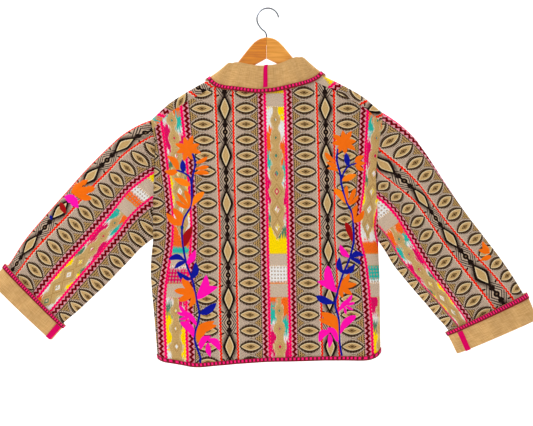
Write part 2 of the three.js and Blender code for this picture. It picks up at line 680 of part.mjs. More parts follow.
// One arm: rounded sections along x, closed at both ends.
function hangerArm(side) {
  const inset = HANGER_THICK / 2 - ARM_CORNER;
  const rings = ARM_STATIONS.map((out) => {
    const x = side * out;
    const past = Math.max(out - TIP_FROM, 0) / TIP_LENGTH;
    const tip = Math.sqrt(Math.max(1 - past * past, 0.02));
    const top = hangerTop(x);
    const foot = Math.max(HANGER_FOOT.centre + HANGER_FOOT.slope * out + TILT * x, top - ARM_DEEPEST);
    const low = lerp(top - ARM_CORNER * 2.2, foot, tip);
    const ring = [];
    for (const [cy, cz, from] of [
      [inset, top - ARM_CORNER, 0],
      [-inset, top - ARM_CORNER, 90],
      [-inset, low + ARM_CORNER, 180],
      [inset, low + ARM_CORNER, 270],
    ]) {
      for (const degrees of [from, from + 45, from + 90]) {
        const a = THREE.MathUtils.degToRad(degrees);
        const y = sweep(x) + cy + ARM_CORNER * Math.cos(a);
        ring.push(new THREE.Vector3(x, y, cz + ARM_CORNER * Math.sin(a)));
      }
    }
    return ring;
  });
  const positions = rings.flat().flatMap((p) => [p.x, p.y, p.z]);
  const count = rings[0].length;
  const index = [];
  const put = (a, b, c) => (side < 0 ? index.push(a, b, c) : index.push(a, c, b));
  for (let i = 0; i < rings.length - 1; i += 1) {
    for (let j = 0; j < count; j += 1) {
      const a = i * count + j;
      const b = i * count + ((j + 1) % count);
      put(a, a + count, b);
      put(b, a + count, b + count);
    }
  }
  const end = (rings.length - 1) * count;
  for (let j = 1; j < count - 1; j += 1) {
    put(0, j, j + 1);
    put(end, end + j + 1, end + j);
  }
  const geometry = new THREE.BufferGeometry();
  geometry.setAttribute("position", new THREE.Float32BufferAttribute(positions, 3));
  geometry.setIndex(index);
  return geometry;
}

const wasm = await Module();
wasm.setup();
function solid(geometry) {
  const bare = geometry.clone();
  bare.deleteAttribute("normal");
  bare.deleteAttribute("uv");
  const merged = mergeVertices(bare, 1e-4);
  return new wasm.Manifold(
    new wasm.Mesh({
      numProp: 3,
      vertProperties: merged.attributes.position.array,
      triVerts: new Uint32Array(merged.index.array),
    }),
  );
}
function cutAway(geometry, tool) {
  const mesh = solid(geometry).subtract(solid(tool)).getMesh();
  const cut = new THREE.BufferGeometry();
  cut.setAttribute("position", new THREE.BufferAttribute(mesh.vertProperties, 3));
  cut.setIndex(new THREE.BufferAttribute(mesh.triVerts, 1));
  return cut;
}

// The hook: an open circle, and a bend that leads back to the stem under its middle.
const hookTop = WIRE / 2; // the middle of the wire stands over the origin, which is on its inside
const hookCentre = new THREE.Vector3(3, 0, hookTop - HOOK_RADIUS);
const stemEnd = HANGER_TOP[0].z - STEM_DEPTH;
const hookPath = new THREE.CatmullRomCurve3([
  ...steps(8, 205, 12).map((degrees) => {
    const a = THREE.MathUtils.degToRad(degrees);
    return new THREE.Vector3(Math.cos(a), 0, Math.sin(a)).multiplyScalar(HOOK_RADIUS).add(hookCentre);
  }),
  new THREE.Vector3(-12, 0, -45),
  new THREE.Vector3(-3, 0, -53),
  new THREE.Vector3(0, 0, -60),
  new THREE.Vector3(0, 0, -66),
  new THREE.Vector3(0, 0, stemEnd),
]);
const wireSection = new THREE.Shape();
wireSection.absarc(0, 0, WIRE / 2, 0, 2 * Math.PI);
add(
  "hanger_hook",
  new THREE.ExtrudeGeometry(wireSection, {
    steps: 44,
    curveSegments: 5,
    bevelEnabled: false,
    extrudePath: hookPath,
  }),
  steel,
);
const holeRadius = WIRE / 2 + SEAM_GAP;
const stemHole = new THREE.CylinderGeometry(holeRadius, holeRadius, (STEM_DEPTH + SEAM_GAP) * 2, 16);
stemHole.rotateX(Math.PI / 2);
stemHole.translate(0, 0, HANGER_TOP[0].z);
for (const [name, side] of [
  ["hanger_arm_left", -1],
  ["hanger_arm_right", 1],
]) {
  add(name, cutAway(hangerArm(side), stemHole), wood);
}

export default jacket;
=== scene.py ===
"""A short, boxy jacquard jacket on a two-piece wooden coat hanger, hung by its hook, back to the viewer.

Shapes are worked out in millimetres, +Z up, from the inside top of the hook, and put in metres on the mesh.
Each cloth piece is a flat cut that is laid on the jacket's form, creased and given its thickness.
"""

import math

import bpy
import numpy as np
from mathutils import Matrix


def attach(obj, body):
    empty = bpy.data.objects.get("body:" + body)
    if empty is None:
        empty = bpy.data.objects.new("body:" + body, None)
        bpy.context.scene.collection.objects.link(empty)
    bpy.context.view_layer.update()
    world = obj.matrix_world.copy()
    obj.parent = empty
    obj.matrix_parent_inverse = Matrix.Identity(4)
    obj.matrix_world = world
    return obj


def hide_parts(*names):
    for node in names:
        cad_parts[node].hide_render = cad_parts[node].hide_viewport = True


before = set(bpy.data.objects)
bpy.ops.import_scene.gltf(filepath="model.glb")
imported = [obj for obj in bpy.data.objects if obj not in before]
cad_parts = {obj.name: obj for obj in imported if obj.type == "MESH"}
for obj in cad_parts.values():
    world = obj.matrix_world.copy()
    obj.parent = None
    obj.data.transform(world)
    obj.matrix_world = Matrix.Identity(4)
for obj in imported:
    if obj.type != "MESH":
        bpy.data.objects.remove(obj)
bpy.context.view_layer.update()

# ---------------------------------------------------------------- the jacket's sizes
CLOTH = 2.0  # jacquard with its plain backing
BRAID = 1.8
TAPE = 1.0
SEAM_GAP = 0.3
BRAID_WIDTH = 10.0
TAPE_WIDTH = 11.0
TILT = 0.0314  # the hanger hangs 1.8 degrees off level, right side up
RIDGE_RADIUS = 9.0  # the cloth's bend over the hanger's arms
BACK_DEPTH = 30.0
FRONT_DEPTH = 34.0
DRAPE = 260.0
SIDE_ROUND = 45.0
SEAM_DROP = 22.0  # the shoulder seam lies this far down the back
NECK_HALF = 90.0
BACK_NECK_DIP = 10.0
ARMPIT = {-1: -527.0, 1: -532.0}
ARMHOLE_ROUND = 70.0
FRONT_GAP = 3.0
HANGER_HALF = 225.0
HANGER_SWEEP = 18.0
FLAT_SHARE = 0.8  # of a panel's half width, before its side turns
CUFF_TURN = 50.0
CUFF_LIFT = 4.0
CUFF_FLARE = 2.5
CUFF_AT = 7.0  # sleeve stations of the cuff's braid and fold
CUFF_FOLD = 7.94
LAST_STATION = 8
SHOULDER_TIP = 268.0
SHOULDER_LEVEL = -200.0  # heights at which a column's x is read for its top and its foot
HEM_LEVEL = -810.0
FOLD_RUN = 220.0  # a fold grows to its full depth over this length
SWEEP_FALL = 330.0  # and this far down the cloth has left the hanger's sweep
SWEEP_END = 1.15  # of the hanger's half length
DIP_STEEPNESS = 1.3
BACK_NECK = 0.28  # the collar's w at the back neck's ends
COLLAR_OFF = 1.4  # between the fall's edge and the cloth under it
SEAM_BLEND = 1.6  # sleeve stations

SHOULDER = [  # out from the centre, height
    (0, -128), (60, -131), (90, -139), (140, -163), (176, -181.5), (200, -195), (224, -210), (245, -227.5),
    (268, -247),
]
SIDES = [  # height, half width at the left and right
    (-822, 244, 258), (-790, 250, 261), (-720, 256, 260), (-614, 265, 259), (-573, 264, 257),
    (-530, 260, 256), (-471, 260, 254), (-380, 258, 251), (-325, 257, 257), (-246, 267, 268),
    (-130, 267, 268),
]
HEM = [  # across, height
    (-262, -784), (-242, -806), (-214, -813), (-164, -821), (-114, -818), (-64, -814), (8, -809), (62, -808),
    (162, -806), (226, -806), (249, -799), (262, -785),
]
FRONT_EDGE = [  # height, the front's inner edge
    (-830, 3), (-500, 3), (-445, 3), (-415, 4), (-350, 26), (-258, 54), (-190, 76), (-158, 88), (-134, 90),
]
BACK_FOLDS = [  # where a fold starts, its lean, width and depth towards the hem
    (-205, -500, 0.06, 20, -5), (-168, -560, 0.02, 24, 5), (-60, -610, -0.05, 26, -4),
    (30, -520, 0.03, 30, 4), (120, -590, 0.05, 24, -4.5), (205, -480, -0.04, 20, -5),
]
FRONT_FOLDS = [
    (-190, -470, 0.05, 22, -6), (-120, -560, -0.03, 26, 5), (105, -600, 0.04, 24, 5),
    (180, -500, -0.05, 22, -6),
]
SLEEVES = {  # station; top fold x, z; under-arm fold x, z; half thickness
    -1: [
        (0, -267, -255, -260, -527, 26), (1, -316, -278, -287, -546, 27), (2, -363, -319, -312, -573, 27),
        (3, -414, -370, -342, -604, 26), (4, -461, -423, -372, -635, 24), (5, -509, -477, -403, -664, 22),
        (6, -555, -532, -435, -694, 20), (7, -594, -591, -468, -722, 18), (8, -632, -630, -498, -758, 18),
    ],
    1: [
        (0, 268, -239, 256, -532, 26), (1, 321, -276, 275, -558, 27), (2, 363, -329, 292, -587, 27),
        (3, 407, -396, 316, -617, 26), (4, 451, -461, 341, -647, 24), (5, 498, -523, 367, -677, 22),
        (6, 547, -588, 392, -707, 20), (7, 590, -656, 419, -739, 18), (8, 619, -716, 443, -791, 18),
    ],
}
SLEEVE_FOLDS = [  # station, height (1 top fold, -1 under-arm fold), slope, width, reach, depth
    (0.9, -0.5, 0.25, 0.22, 0.55, -5), (1.6, -0.65, 0.3, 0.2, 0.55, 4), (2.3, -0.35, 0.2, 0.25, 0.55, -4),
    (4.4, 0.2, -0.2, 0.35, 0.55, -3), (5.6, -0.3, 0.2, 0.3, 0.55, 3),
]
COLLAR = [  # w; neck x, over; rise x, y, z; roll; edge x, over
    (-1, -6, 272, 2, 3.2, 0, 2, -24, 283), (-0.88, -27, 214, 4, 4, 0, 2.2, -74, 234),
    (-0.74, -53, 128, 5, 4.5, 2, 2.4, -118, 152), (-0.58, -76, 56, 6, 5, 5, 2.8, -138, 82),
    (-0.47, -86, 24, 6, 3, 11, 3.2, -141, 30), (-0.38, -89, 0, 5, 0, 14, 3.6, -135, -4),
    (-0.28, -80, -31, 4, -1, 37, 4, -108, -38), (-0.15, -45, -43, 4, -2, 39.5, 4, -62, -62),
    (0, 0, -47, 0, -2, 38, 4, -3, -71), (0.15, 45, -43, -5, -2, 42, 4, 62, -58),
    (0.28, 80, -31, -7, -1, 45, 4, 104, -33), (0.38, 89, 0, -8, 0, 21, 3.6, 131, -1),
    (0.47, 86, 24, -7, 3, 14, 3.2, 138, 32), (0.58, 76, 56, -6, 5, 5, 2.8, 138, 82),
    (0.74, 53, 128, -5, 4.5, 2, 2.4, 118, 152), (0.88, 27, 214, -4, 4, 0, 2.2, 74, 234),
    (1, 6, 272, -2, 3.2, 0, 2, 24, 283),
]

# Soft creases that only the cloth's face has: x, z, direction in degrees, half length, width, depth, bow.
BACK_CREASES = [
    (-214, -470, 62, 95, 9, -5, 0.0009), (-232, -430, 78, 80, 8, -4, -0.0008),
    (-196, -500, 40, 60, 8, 3, 0.001), (222, -480, 108, 90, 11, -9, -0.001),
    (240, -440, 96, 80, 8, -5, 0.0008), (200, -505, 135, 60, 9, 3.5, 0.0012),
    (-150, -330, 75, 90, 18, -2, 0.0004), (150, -330, 104, 90, 18, -2, -0.0004),
    (-30, -300, 92, 110, 22, -1.6, 0.0002), (60, -420, 85, 120, 24, 1.6, 0.0002),
    (-110, -720, 88, 100, 16, 3, 0.0002), (-20, -740, 94, 90, 16, -2.6, 0.0002),
    (165, -730, 86, 95, 15, 3, 0.0002), (80, -700, 92, 110, 17, -2.4, -0.0002),
    (-215, -700, 84, 110, 14, 3, 0.0002), (225, -690, 97, 110, 13, 3, 0.0002),
]
ARMPIT_CREASES = [  # where the sleeves hang away from the back
    (249, -503, 97, 46, 8, -21, 0), (-262, -480, 86, 62, 9, -12, 0), (-250, -512, 60, 42, 8, -9, 0.001),
]
SLEEVE_CREASES = {  # in the columns of SLEEVE_FOLDS
    -1: [
        (0.5, -0.1, 0.25, 0.11, 0.6, -4), (0.8, 0.3, 0.2, 0.14, 0.5, 2.5), (1.25, -0.45, 0.3, 0.1, 0.5, -4),
        (1.9, -0.6, 0.25, 0.12, 0.5, -3.5), (2.7, -0.2, -0.2, 0.16, 0.6, 2.5),
        (3.4, 0.3, -0.25, 0.15, 0.5, -2.5), (4.1, -0.5, 0.2, 0.14, 0.5, -2.5), (5.0, 0.0, -0.3, 0.16, 0.6, 2),
        (6.1, 0.3, 0.2, 0.15, 0.5, -2), (6.6, -0.4, -0.2, 0.13, 0.5, 2),
    ],
    1: [
        (0.45, 0.0, -0.25, 0.12, 0.6, -6), (0.75, -0.35, 0.3, 0.1, 0.5, 4), (1.1, 0.25, 0.3, 0.12, 0.5, -4),
        (1.5, -0.5, 0.3, 0.11, 0.5, -4), (2.2, 0.1, -0.25, 0.14, 0.5, 3), (3.0, -0.4, 0.2, 0.15, 0.6, -3),
        (3.9, 0.3, 0.2, 0.16, 0.5, 2.5), (4.8, -0.2, -0.2, 0.15, 0.5, -2.5), (5.7, 0.2, 0.25, 0.15, 0.6, 2),
        (6.5, -0.4, -0.2, 0.13, 0.5, -2),
    ],
}


# ---------------------------------------------------------------- curves and surfaces
def through(rows, column):
    """A smooth curve through a table's column over its first one, which runs on straight past its ends."""
    x = np.array([row[0] for row in rows], float)
    y = np.array([row[column] for row in rows], float)
    slope = np.empty_like(x)
    slope[1:-1] = (y[2:] - y[:-2]) / (x[2:] - x[:-2])
    slope[0] = (y[1] - y[0]) / (x[1] - x[0])
    slope[-1] = (y[-1] - y[-2]) / (x[-1] - x[-2])

    def curve(p):
        p = np.asarray(p, float)
        i = np.clip(np.searchsorted(x, p), 1, len(x) - 1)
        h = x[i] - x[i - 1]
        t = np.clip((p - x[i - 1]) / h, 0, 1)
        chord = (y[i] - y[i - 1]) / h
        bend = (slope[i - 1] - chord) * (1 - t) - (slope[i] - chord) * t
        past = np.minimum(p - x[0], 0) * slope[0] + np.maximum(p - x[-1], 0) * slope[-1]
        return y[i - 1] + (y[i] - y[i - 1]) * t + h * t * (1 - t) * bend + past

    return curve


def ease(t):
    s = np.clip(t, 0, 1)
    return s * s * (3 - 2 * s)


def lerp(a, b, t):
    return a + (b - a) * t


def unit(v):
    return v / np.linalg.norm(v, axis=-1, keepdims=True)


NUDGE = 1e-3


def outward(surface, r, q, ends=(-np.inf, np.inf)):
    """The unit normal of surface(r, q)."""
    along = surface(np.minimum(r + NUDGE, ends[1]), q) - surface(np.maximum(r - NUDGE, ends[0]), q)
    across = surface(r, q + NUDGE) - surface(r, q - NUDGE)
    return unit(np.cross(across, along))


def lifted(surface, lift, ends=(-np.inf, np.inf)):
    return lambda r, q: surface(r, q) + outward(surface, r, q, ends) * lift


shoulder_z = through(SHOULDER, 1)
left_side = through(SIDES, 1)
right_side = through(SIDES, 2)
hem_z = through(HEM, 1)
front_edge = through(FRONT_EDGE, 1)


def ridge(x):
    return shoulder_z(np.abs(x)) + TILT * x


def half_width(side, z):
    return np.where(side < 0, left_side(z), right_side(z))


def stand_off(depth, full):
    bend = np.sqrt(np.clip(2 * RIDGE_RADIUS * depth - depth * depth, 0, None))
    fall = RIDGE_RADIUS + (full - RIDGE_RADIUS) * ease((depth - RIDGE_RADIUS) / DRAPE)
    return np.where(depth <= 0, 0, np.where(depth < RIDGE_RADIUS, bend, fall))


def openness(side, z):
    """0 at the closed side seam, 1 where the armhole stands fully open."""
    up = np.clip((z - np.where(side < 0, ARMPIT[-1], ARMPIT[1])) / ARMHOLE_ROUND, 0, 1)
    return np.sqrt(1 - (1 - up) ** 2)


def folds_at(folds, x, z):
    total = 0
    for start_x, start_z, lean, width, depth in folds:
        below = start_z - z
        off = (x - start_x - lean * below) / width
        total = total + depth * ease(below / FOLD_RUN) * np.exp(-off * off)
    return total


def creases_at(creases, x, z):
    total = 0
    for cx, cz, degrees, half, width, depth, bow in creases:
        a = math.radians(degrees)
        along = (x - cx) * math.cos(a) + (z - cz) * math.sin(a)
        off = (z - cz) * math.cos(a) - (x - cx) * math.sin(a) + bow * along * along
        total = total + depth * np.exp(-((off / width) ** 2)) * (1 - ease(np.abs(along) / half))
    return total


def sweep(x):
    return HANGER_SWEEP * np.minimum(np.abs(x) / HANGER_HALF, SWEEP_END) ** 2


def middle(x, depth):
    return sweep(x) * (1 - ease(depth / SWEEP_FALL))


QUARTER = RIDGE_RADIUS * math.pi / 2


def depth_of(over):
    """The drop below the shoulder line for a length of cloth over it, back under 0 and front over 0."""
    run = np.abs(over)
    bend = RIDGE_RADIUS * (1 - np.cos(run / RIDGE_RADIUS))
    return np.where(run < QUARTER, bend, RIDGE_RADIUS + run - QUARTER)


def over_of(depth):
    return depth - RIDGE_RADIUS + QUARTER


def side_place(across, z):
    side = np.where(across < 0, -1.0, 1.0)
    share = np.abs(across)
    turned = np.clip((share - FLAT_SHARE) / (1 - FLAT_SHARE), 0, None)
    end = np.arccos(openness(side, z))
    flat = (half_width(side, z) - SIDE_ROUND) * np.minimum(share / FLAT_SHARE, 1)
    reach = np.where(end > 1e-3, np.sin(end * turned) / np.maximum(np.sin(end), 1e-6), turned)
    return side * (flat + SIDE_ROUND * reach), np.cos(end * turned)


def across_of(x, z):
    return x / (half_width(np.sign(x), z) - SIDE_ROUND) * FLAT_SHARE


def body_point(across, z, on_back):
    x, kept = side_place(across, z)
    depth = ridge(x) - z
    back = stand_off(depth, BACK_DEPTH) + folds_at(BACK_FOLDS, x, z)
    back = back + creases_at(BACK_CREASES + ARMPIT_CREASES, x, z)
    front = stand_off(depth, FRONT_DEPTH) + folds_at(FRONT_FOLDS, x, z)
    y = middle(x, depth) + np.where(on_back, -back, front) * kept
    return np.stack(np.broadcast_arrays(x, y, z), -1)


def body_at_x(x, over):
    z = ridge(x) - depth_of(over)
    return body_point(across_of(x, z), z, over < 0)


def shoulder_x(across):
    return side_place(across, SHOULDER_LEVEL)[0]


def hem_x(across):
    return side_place(across, HEM_LEVEL)[0]


def back_top_z(x):
    dip = BACK_NECK_DIP * ease((1 - np.abs(x) / NECK_HALF) * DIP_STEEPNESS)
    return shoulder_z(np.maximum(np.abs(x), NECK_HALF)) + TILT * x - SEAM_DROP - dip


def back(r, q):
    """The back's columns run from right to left, so that across and down give the way out of the cloth."""
    return body_point(-q, lerp(back_top_z(shoulder_x(-q)), hem_z(hem_x(-q)), r), True)


def back_hem(r, q):
    return body_point(-q, hem_z(hem_x(-q)) + BRAID_WIDTH * (1 - r), True)


WRAP = np.array([-over_of(SEAM_DROP) + SEAM_GAP, -18, -12, -7, -3.5, 0, 3.5, 7, 12, 18, 30])
WRAP_ROWS = len(WRAP) - 1
BODY_ROWS = 20


def front_place(side, row, q):
    """A row and q (0 at the inner edge, 1 at the side) as across, height and the length over the ridge."""
    over = np.interp(row, np.arange(len(WRAP)), WRAP)
    edge = front_edge(shoulder_z(NECK_HALF) - depth_of(over))
    inner = np.where(over < 0, NECK_HALF, edge)
    top_across = side * lerp(across_of(inner, SHOULDER_LEVEL), 1, q)
    top_x = shoulder_x(top_across)
    top_z = ridge(top_x) - depth_of(over)
    foot_x = hem_x(side * lerp(across_of(FRONT_GAP, HEM_LEVEL), 1, q))
    z = lerp(top_z, hem_z(foot_x), (row - WRAP_ROWS) / BODY_ROWS)
    low_across = side * lerp(across_of(front_edge(z), z), 1, q)
    wrapped = row <= WRAP_ROWS
    return np.where(wrapped, top_across, low_across), np.where(wrapped, top_z, z), over


def front(side):
    def surface(row, q):
        across, z, over = front_place(side, row, q if side > 0 else 1 - q)
        return body_point(across, z, over < 0)

    return surface


def front_hem(side):
    def surface(r, q):
        out = q if side > 0 else 1 - q
        across = side * lerp(across_of(FRONT_GAP, HEM_LEVEL), 1, out)
        return body_point(across, hem_z(hem_x(across)) + BRAID_WIDTH * (1 - r), False)

    return surface


def sleeve(side):
    top_x, top_z, low_x, low_z, half_depth = (through(SLEEVES[side], i) for i in range(1, 6))
    ridge_z = ridge(side * SHOULDER_TIP)

    def surface(at, around):
        angle = around * 2 * math.pi
        high = np.cos(angle)
        out = -np.sin(angle) * side
        ahead = np.where(out > 0, 1.0, -1.0)
        x = lerp(low_x(at), top_x(at), (1 + high) / 2)
        z = lerp(low_z(at), top_z(at), (1 + high) / 2)
        bulge = 0
        for fold_at, fold_high, slope, width, reach, depth in SLEEVE_FOLDS + SLEEVE_CREASES[side]:
            off = (at - fold_at - slope * (high - fold_high)) / width
            bulge = bulge + depth * np.exp(-off * off - ((high - fold_high) / reach) ** 2)
        y = out * (half_depth(at) + bulge + np.where(ahead < 0, creases_at(ARMPIT_CREASES, x, z), 0))
        seam_z = lerp(ARMPIT[side], ridge_z, (1 + high) / 2)
        opened = openness(np.full_like(seam_z, side), seam_z)
        depth = ridge_z - seam_z
        full = np.where(ahead < 0, BACK_DEPTH, FRONT_DEPTH)
        seam_x = side * (half_width(side, seam_z) + SEAM_GAP + CLOTH / 2 * np.sqrt(1 - opened**2))
        tuck = np.where(ahead < 0, creases_at(ARMPIT_CREASES, seam_x, seam_z), 0)
        seam_y = middle(side * SHOULDER_TIP, depth) + ahead * (stand_off(depth, full) + tuck) * opened
        seam = np.stack(np.broadcast_arrays(seam_x, seam_y, seam_z), -1)
        free = np.stack(np.broadcast_arrays(x, y, z), -1)
        return lerp(seam, free, ease(at / SEAM_BLEND)[..., None])

    return surface


def cuff(side):
    surface = sleeve(side)
    ends = surface(np.array([CUFF_AT, CUFF_AT, LAST_STATION, LAST_STATION]), np.array([0, 0.5, 0, 0.5]))
    axis = unit(ends[2] + ends[3] - ends[0] - ends[1])
    turn = CUFF_LIFT / 2

    def turned(k, around):
        at = lerp(CUFF_AT, CUFF_FOLD, np.clip(k, None, 1))
        bend = (np.clip(k, 1, None) - 1) * math.pi
        flare = CUFF_FLARE * (1 - np.minimum(k, 1))
        lift = turn + (turn + flare) * np.cos(bend)
        ahead = turn * np.sin(bend) + SEAM_GAP
        off = outward(surface, at, around, (0, LAST_STATION)) * lift[..., None]
        return surface(at, around) + off + axis * ahead[..., None]

    return turned


collar_at = [through(COLLAR, i) for i in range(1, 9)]


def neck_place(w):
    x = collar_at[0](w)
    behind = -over_of(ridge(x) - back_top_z(x))
    return x, np.where(np.abs(w) < BACK_NECK, behind, collar_at[1](w))


def body_normal(x, over):
    along = body_at_x(x, over + 1) - body_at_x(x, over - 1)
    across = body_at_x(x + 1, over) - body_at_x(x - 1, over)
    return unit(np.cross(across, along))


def neck_point(w):
    x, over = neck_place(w)
    along = body_at_x(*neck_place(w + NUDGE)) - body_at_x(*neck_place(w - NUDGE))
    inward = unit(np.cross(body_normal(x, over), along))
    return body_at_x(x, over) + inward * (CLOTH / 2 + SEAM_GAP * 2)


def collar_section(w):
    """Seven points of the collar's section: the neckline, over the fold, to the outer edge."""
    rise = np.stack([collar_at[i](w) for i in (2, 3, 4)], -1)
    roll = collar_at[5](w)[..., None]
    neck = neck_point(w)
    edge_x, edge_over = collar_at[6](w), collar_at[7](w)
    edge = body_at_x(edge_x, edge_over) + body_normal(edge_x, edge_over) * (CLOTH + COLLAR_OFF)
    fold = neck + rise
    up = unit(fold - (neck + edge) / 2)
    out = edge - neck
    out = unit(out - up * np.sum(out * up, -1, keepdims=True))
    inner = fold - out * roll - up * roll
    outer = fold + out * roll - up * roll
    return np.stack([neck, (neck + inner) / 2, inner, fold, outer, (outer + edge) / 2, edge], -2)


def rounded(points, k):
    """A place at k, from 0 to 1, on the smooth curve through points, a row of them for each k."""
    count = points.shape[-2]
    first = 2 * points[..., :1, :] - points[..., 1:2, :]
    last = 2 * points[..., -1:, :] - points[..., -2:-1, :]
    p = np.concatenate([first, points, last], -2)
    run = np.clip(k, 0, 1) * (count - 1)
    i = np.clip(np.floor(run).astype(int), 0, count - 2)
    t = (run - i)[..., None]
    rows = np.arange(len(i))
    a, b, c, d = (p[rows, i + n] for n in range(4))
    sides = [np.linalg.norm(n - m, axis=-1, keepdims=True) for m, n in ((a, b), (b, c), (c, d))]
    gap = [np.maximum(side, 1e-6) ** 0.5 for side in sides]
    start = ((b - a) / gap[0] - (c - a) / (gap[0] + gap[1]) + (c - b) / gap[1]) * gap[1]
    end = ((c - b) / gap[1] - (d - b) / (gap[1] + gap[2]) + (d - c) / gap[2]) * gap[1]
    return b + start * t + (-3 * b + 3 * c - 2 * start - end) * t**2 + (2 * b - 2 * c + start + end) * t**3


STRAIGHT_ON = 50.0  # mm for each 1 of k past the collar's edges


def collar(w, k):
    """The collar at w round the neck and k over it, which runs straight on past its two edges."""
    w, k = np.broadcast_arrays(w, k)
    section = collar_section(w)
    near_end = np.where(k[:, None] > 0.5, section[:, 6] - section[:, 5], section[:, 1] - section[:, 0])
    past = (k - np.clip(k, 0, 1)) * STRAIGHT_ON
    return rounded(section, k) + unit(near_end) * past[:, None]


FALL = 0.333  # the fall's share of the collar's section, down to its edge


def collar_edge(w, q):
    width = np.linalg.norm(collar(w, 1 - FALL + 0 * w) - collar(w, 1 + 0 * w), axis=-1)
    return collar(w, lerp(1 - FALL * BRAID_WIDTH / width, 1, q))


# ---------------------------------------------------------------- the jacquard's lie on each piece, in mm
HALF_REPEAT = 115.0  # from the line of diamonds to the middle of the ikat stripe
FIRST_DIAMOND = 447.4  # down the cloth
DIAMOND_PITCH = 109.0
DRIFT = 0.0209  # the stripes lean this much to +X as they go down
DYE_REPEAT = 350.0
STRETCH = {  # height, and how much wider than in the middle the side stripes are drawn in
    -1: [(-800, 0.95), (-700, 0.94), (-639, 0.965), (-500, 1.115), (-350, 1.02), (-230, 0.91)],
    1: [(-800, 0.95), (-700, 0.98), (-582, 1.083), (-508, 1.28), (-412, 1.10), (-241, 0.935)],
}
BACK_MIDDLE = 24.0  # the middle ikat stripe's x at BACK_MIDDLE_Z
BACK_MIDDLE_Z = -439.0
BACK_DYES = [(377, 1.06), (500, 1), (413, 1.048)]  # each ikat stripe's: where a yellow starts, stretch


def back_cloth(points):
    """Across and down the cloth, and along its dyes, for points of the back."""
    x, z = points[:, 0], points[:, 2]
    off = x - BACK_MIDDLE + DRIFT * (z - BACK_MIDDLE_Z)
    wide = np.where(off < 0, through(STRETCH[-1], 1)(z), through(STRETCH[1], 1)(z))
    out = np.abs(off) - HALF_REPEAT
    u = np.sign(off) * (np.minimum(np.abs(off), HALF_REPEAT) + np.maximum(out, 0) * wide) + HALF_REPEAT
    stripe = np.clip(np.floor(u / (2 * HALF_REPEAT)).astype(int), -1, 1) + 1
    start, stretch = (np.array([row[i] for row in BACK_DYES])[stripe] for i in (0, 1))
    return u, -z, (-z - start) * stretch, -z


FRONT_DIAMONDS = {-1: -160.0, 1: 252.0}  # x of each front's line of diamonds
FRONT_DYES = {-1: 380.0, 1: 120.0}  # v where a yellow starts
STRAY = 0.81  # how far the front's straight grain runs aside as it comes over the sloping shoulder


def front_cloth(side):
    def cloth(points):
        x, z = points[:, 0], points[:, 2]
        fall = np.where(points[:, 1] < middle(x, ridge(x) - z), np.maximum(ridge(x) - z, 0), 0)
        over_x = x + side * STRAY * fall
        v = np.where(fall > 0, -ridge(over_x) - fall, -z)
        return over_x - FRONT_DIAMONDS[side], v, v - FRONT_DYES[side], v

    return cloth


SLEEVE_STRIPES = {  # the cloth's u, and at each station its share of the way from top fold to under-arm
    -1: {
        "u": [-19, 0, 19, 82, 91.5, 115, 138.5, 148, 200, 230],
        0.5: [0, 0.09, 0.13, 0.42, 0.44, 0.56, 0.65, 0.69, 1.02, 1.2],
        2: [0, 0.09, 0.18, 0.46, 0.50, 0.61, 0.70, 0.745, 1.02, 1.2],
        3: [0, 0.085, 0.18, 0.48, 0.53, 0.63, 0.72, 0.77, 1.0, 1.14],
        4.5: [0, 0.085, 0.185, 0.485, 0.535, 0.64, 0.74, 0.785, 1.04, 1.19],
        7: [0, 0.08, 0.15, 0.50, 0.55, 0.665, 0.79, 0.83, 1.12, 1.28],
    },
    1: {
        "u": [-91.5, -82, -19, 0, 19, 82, 91.5, 115, 139, 162, 200],
        0: [0, 0.03, 0.26, 0.355, 0.43, 0.63, 0.655, 0.78, 0.89, 0.90, 1.10],
        1: [0, 0.03, 0.30, 0.385, 0.47, 0.63, 0.66, 0.79, 0.89, 0.90, 1.12],
        2.3: [-0.03, 0, 0.265, 0.33, 0.41, 0.645, 0.685, 0.80, 0.905, 0.915, 1.13],
        4: [-0.06, -0.03, 0.24, 0.32, 0.41, 0.69, 0.725, 0.82, 0.90, 0.91, 1.13],
        5.5: [-0.09, -0.06, 0.20, 0.30, 0.42, 0.715, 0.74, 0.825, 0.885, 0.895, 1.12],
        7: [-0.14, -0.11, 0.135, 0.27, 0.40, 0.73, 0.76, 0.825, 0.88, 0.89, 1.12],
    },
}
SLEEVE_GRAIN = {  # the stripes' run, where it meets the first diamond, stretch, dye start and stretch
    -1: {
        "run": (-0.67, -0.742), "start": 450.6, "stretch": 1.038,
        "dye_from": 517, "dye": 125, "dye_stretch": 1.12,
    },
    1: {
        "run": (0.59, -0.807), "start": 449.7, "stretch": 0.98,
        "dye_from": 595, "dye": 179, "dye_stretch": 1.2,
    },
}
SLEEVE_HALF_GIRTHS = (270, 185)  # at the armhole and at the cuff's mouth
CHAIN_LATER = 17.0  # the ikat's chain starts this much further down the sleeves than on the back


def sleeve_cloth(side):
    table = SLEEVE_STRIPES[side]
    stations = [key for key in table if key != "u"]
    marks = [through([(at, table[at][i]) for at in stations], 1) for i in range(len(table["u"]))]
    grain = SLEEVE_GRAIN[side]

    def cloth(points, at, around):
        share = (1 - np.cos(around * 2 * math.pi)) / 2
        places = np.stack([mark(np.clip(at, stations[0], stations[-1])) for mark in marks], -1)
        u = np.array([np.interp(s, p, table["u"]) for s, p in zip(share, places)])
        first = np.array([np.interp(0, p, table["u"]) for p in places])
        behind = -np.sin(around * 2 * math.pi) * side < 1e-6
        girth = lerp(*SLEEVE_HALF_GIRTHS, at / LAST_STATION)
        u = np.where(behind, u, first - share * girth)
        run = points[:, 0] * grain["run"][0] + points[:, 2] * grain["run"][1]
        v = FIRST_DIAMOND + DIAMOND_PITCH + (run - grain["start"]) * grain["stretch"]
        return u, v, grain["dye"] + (run - grain["dye_from"]) * grain["dye_stretch"], v - CHAIN_LATER

    return cloth


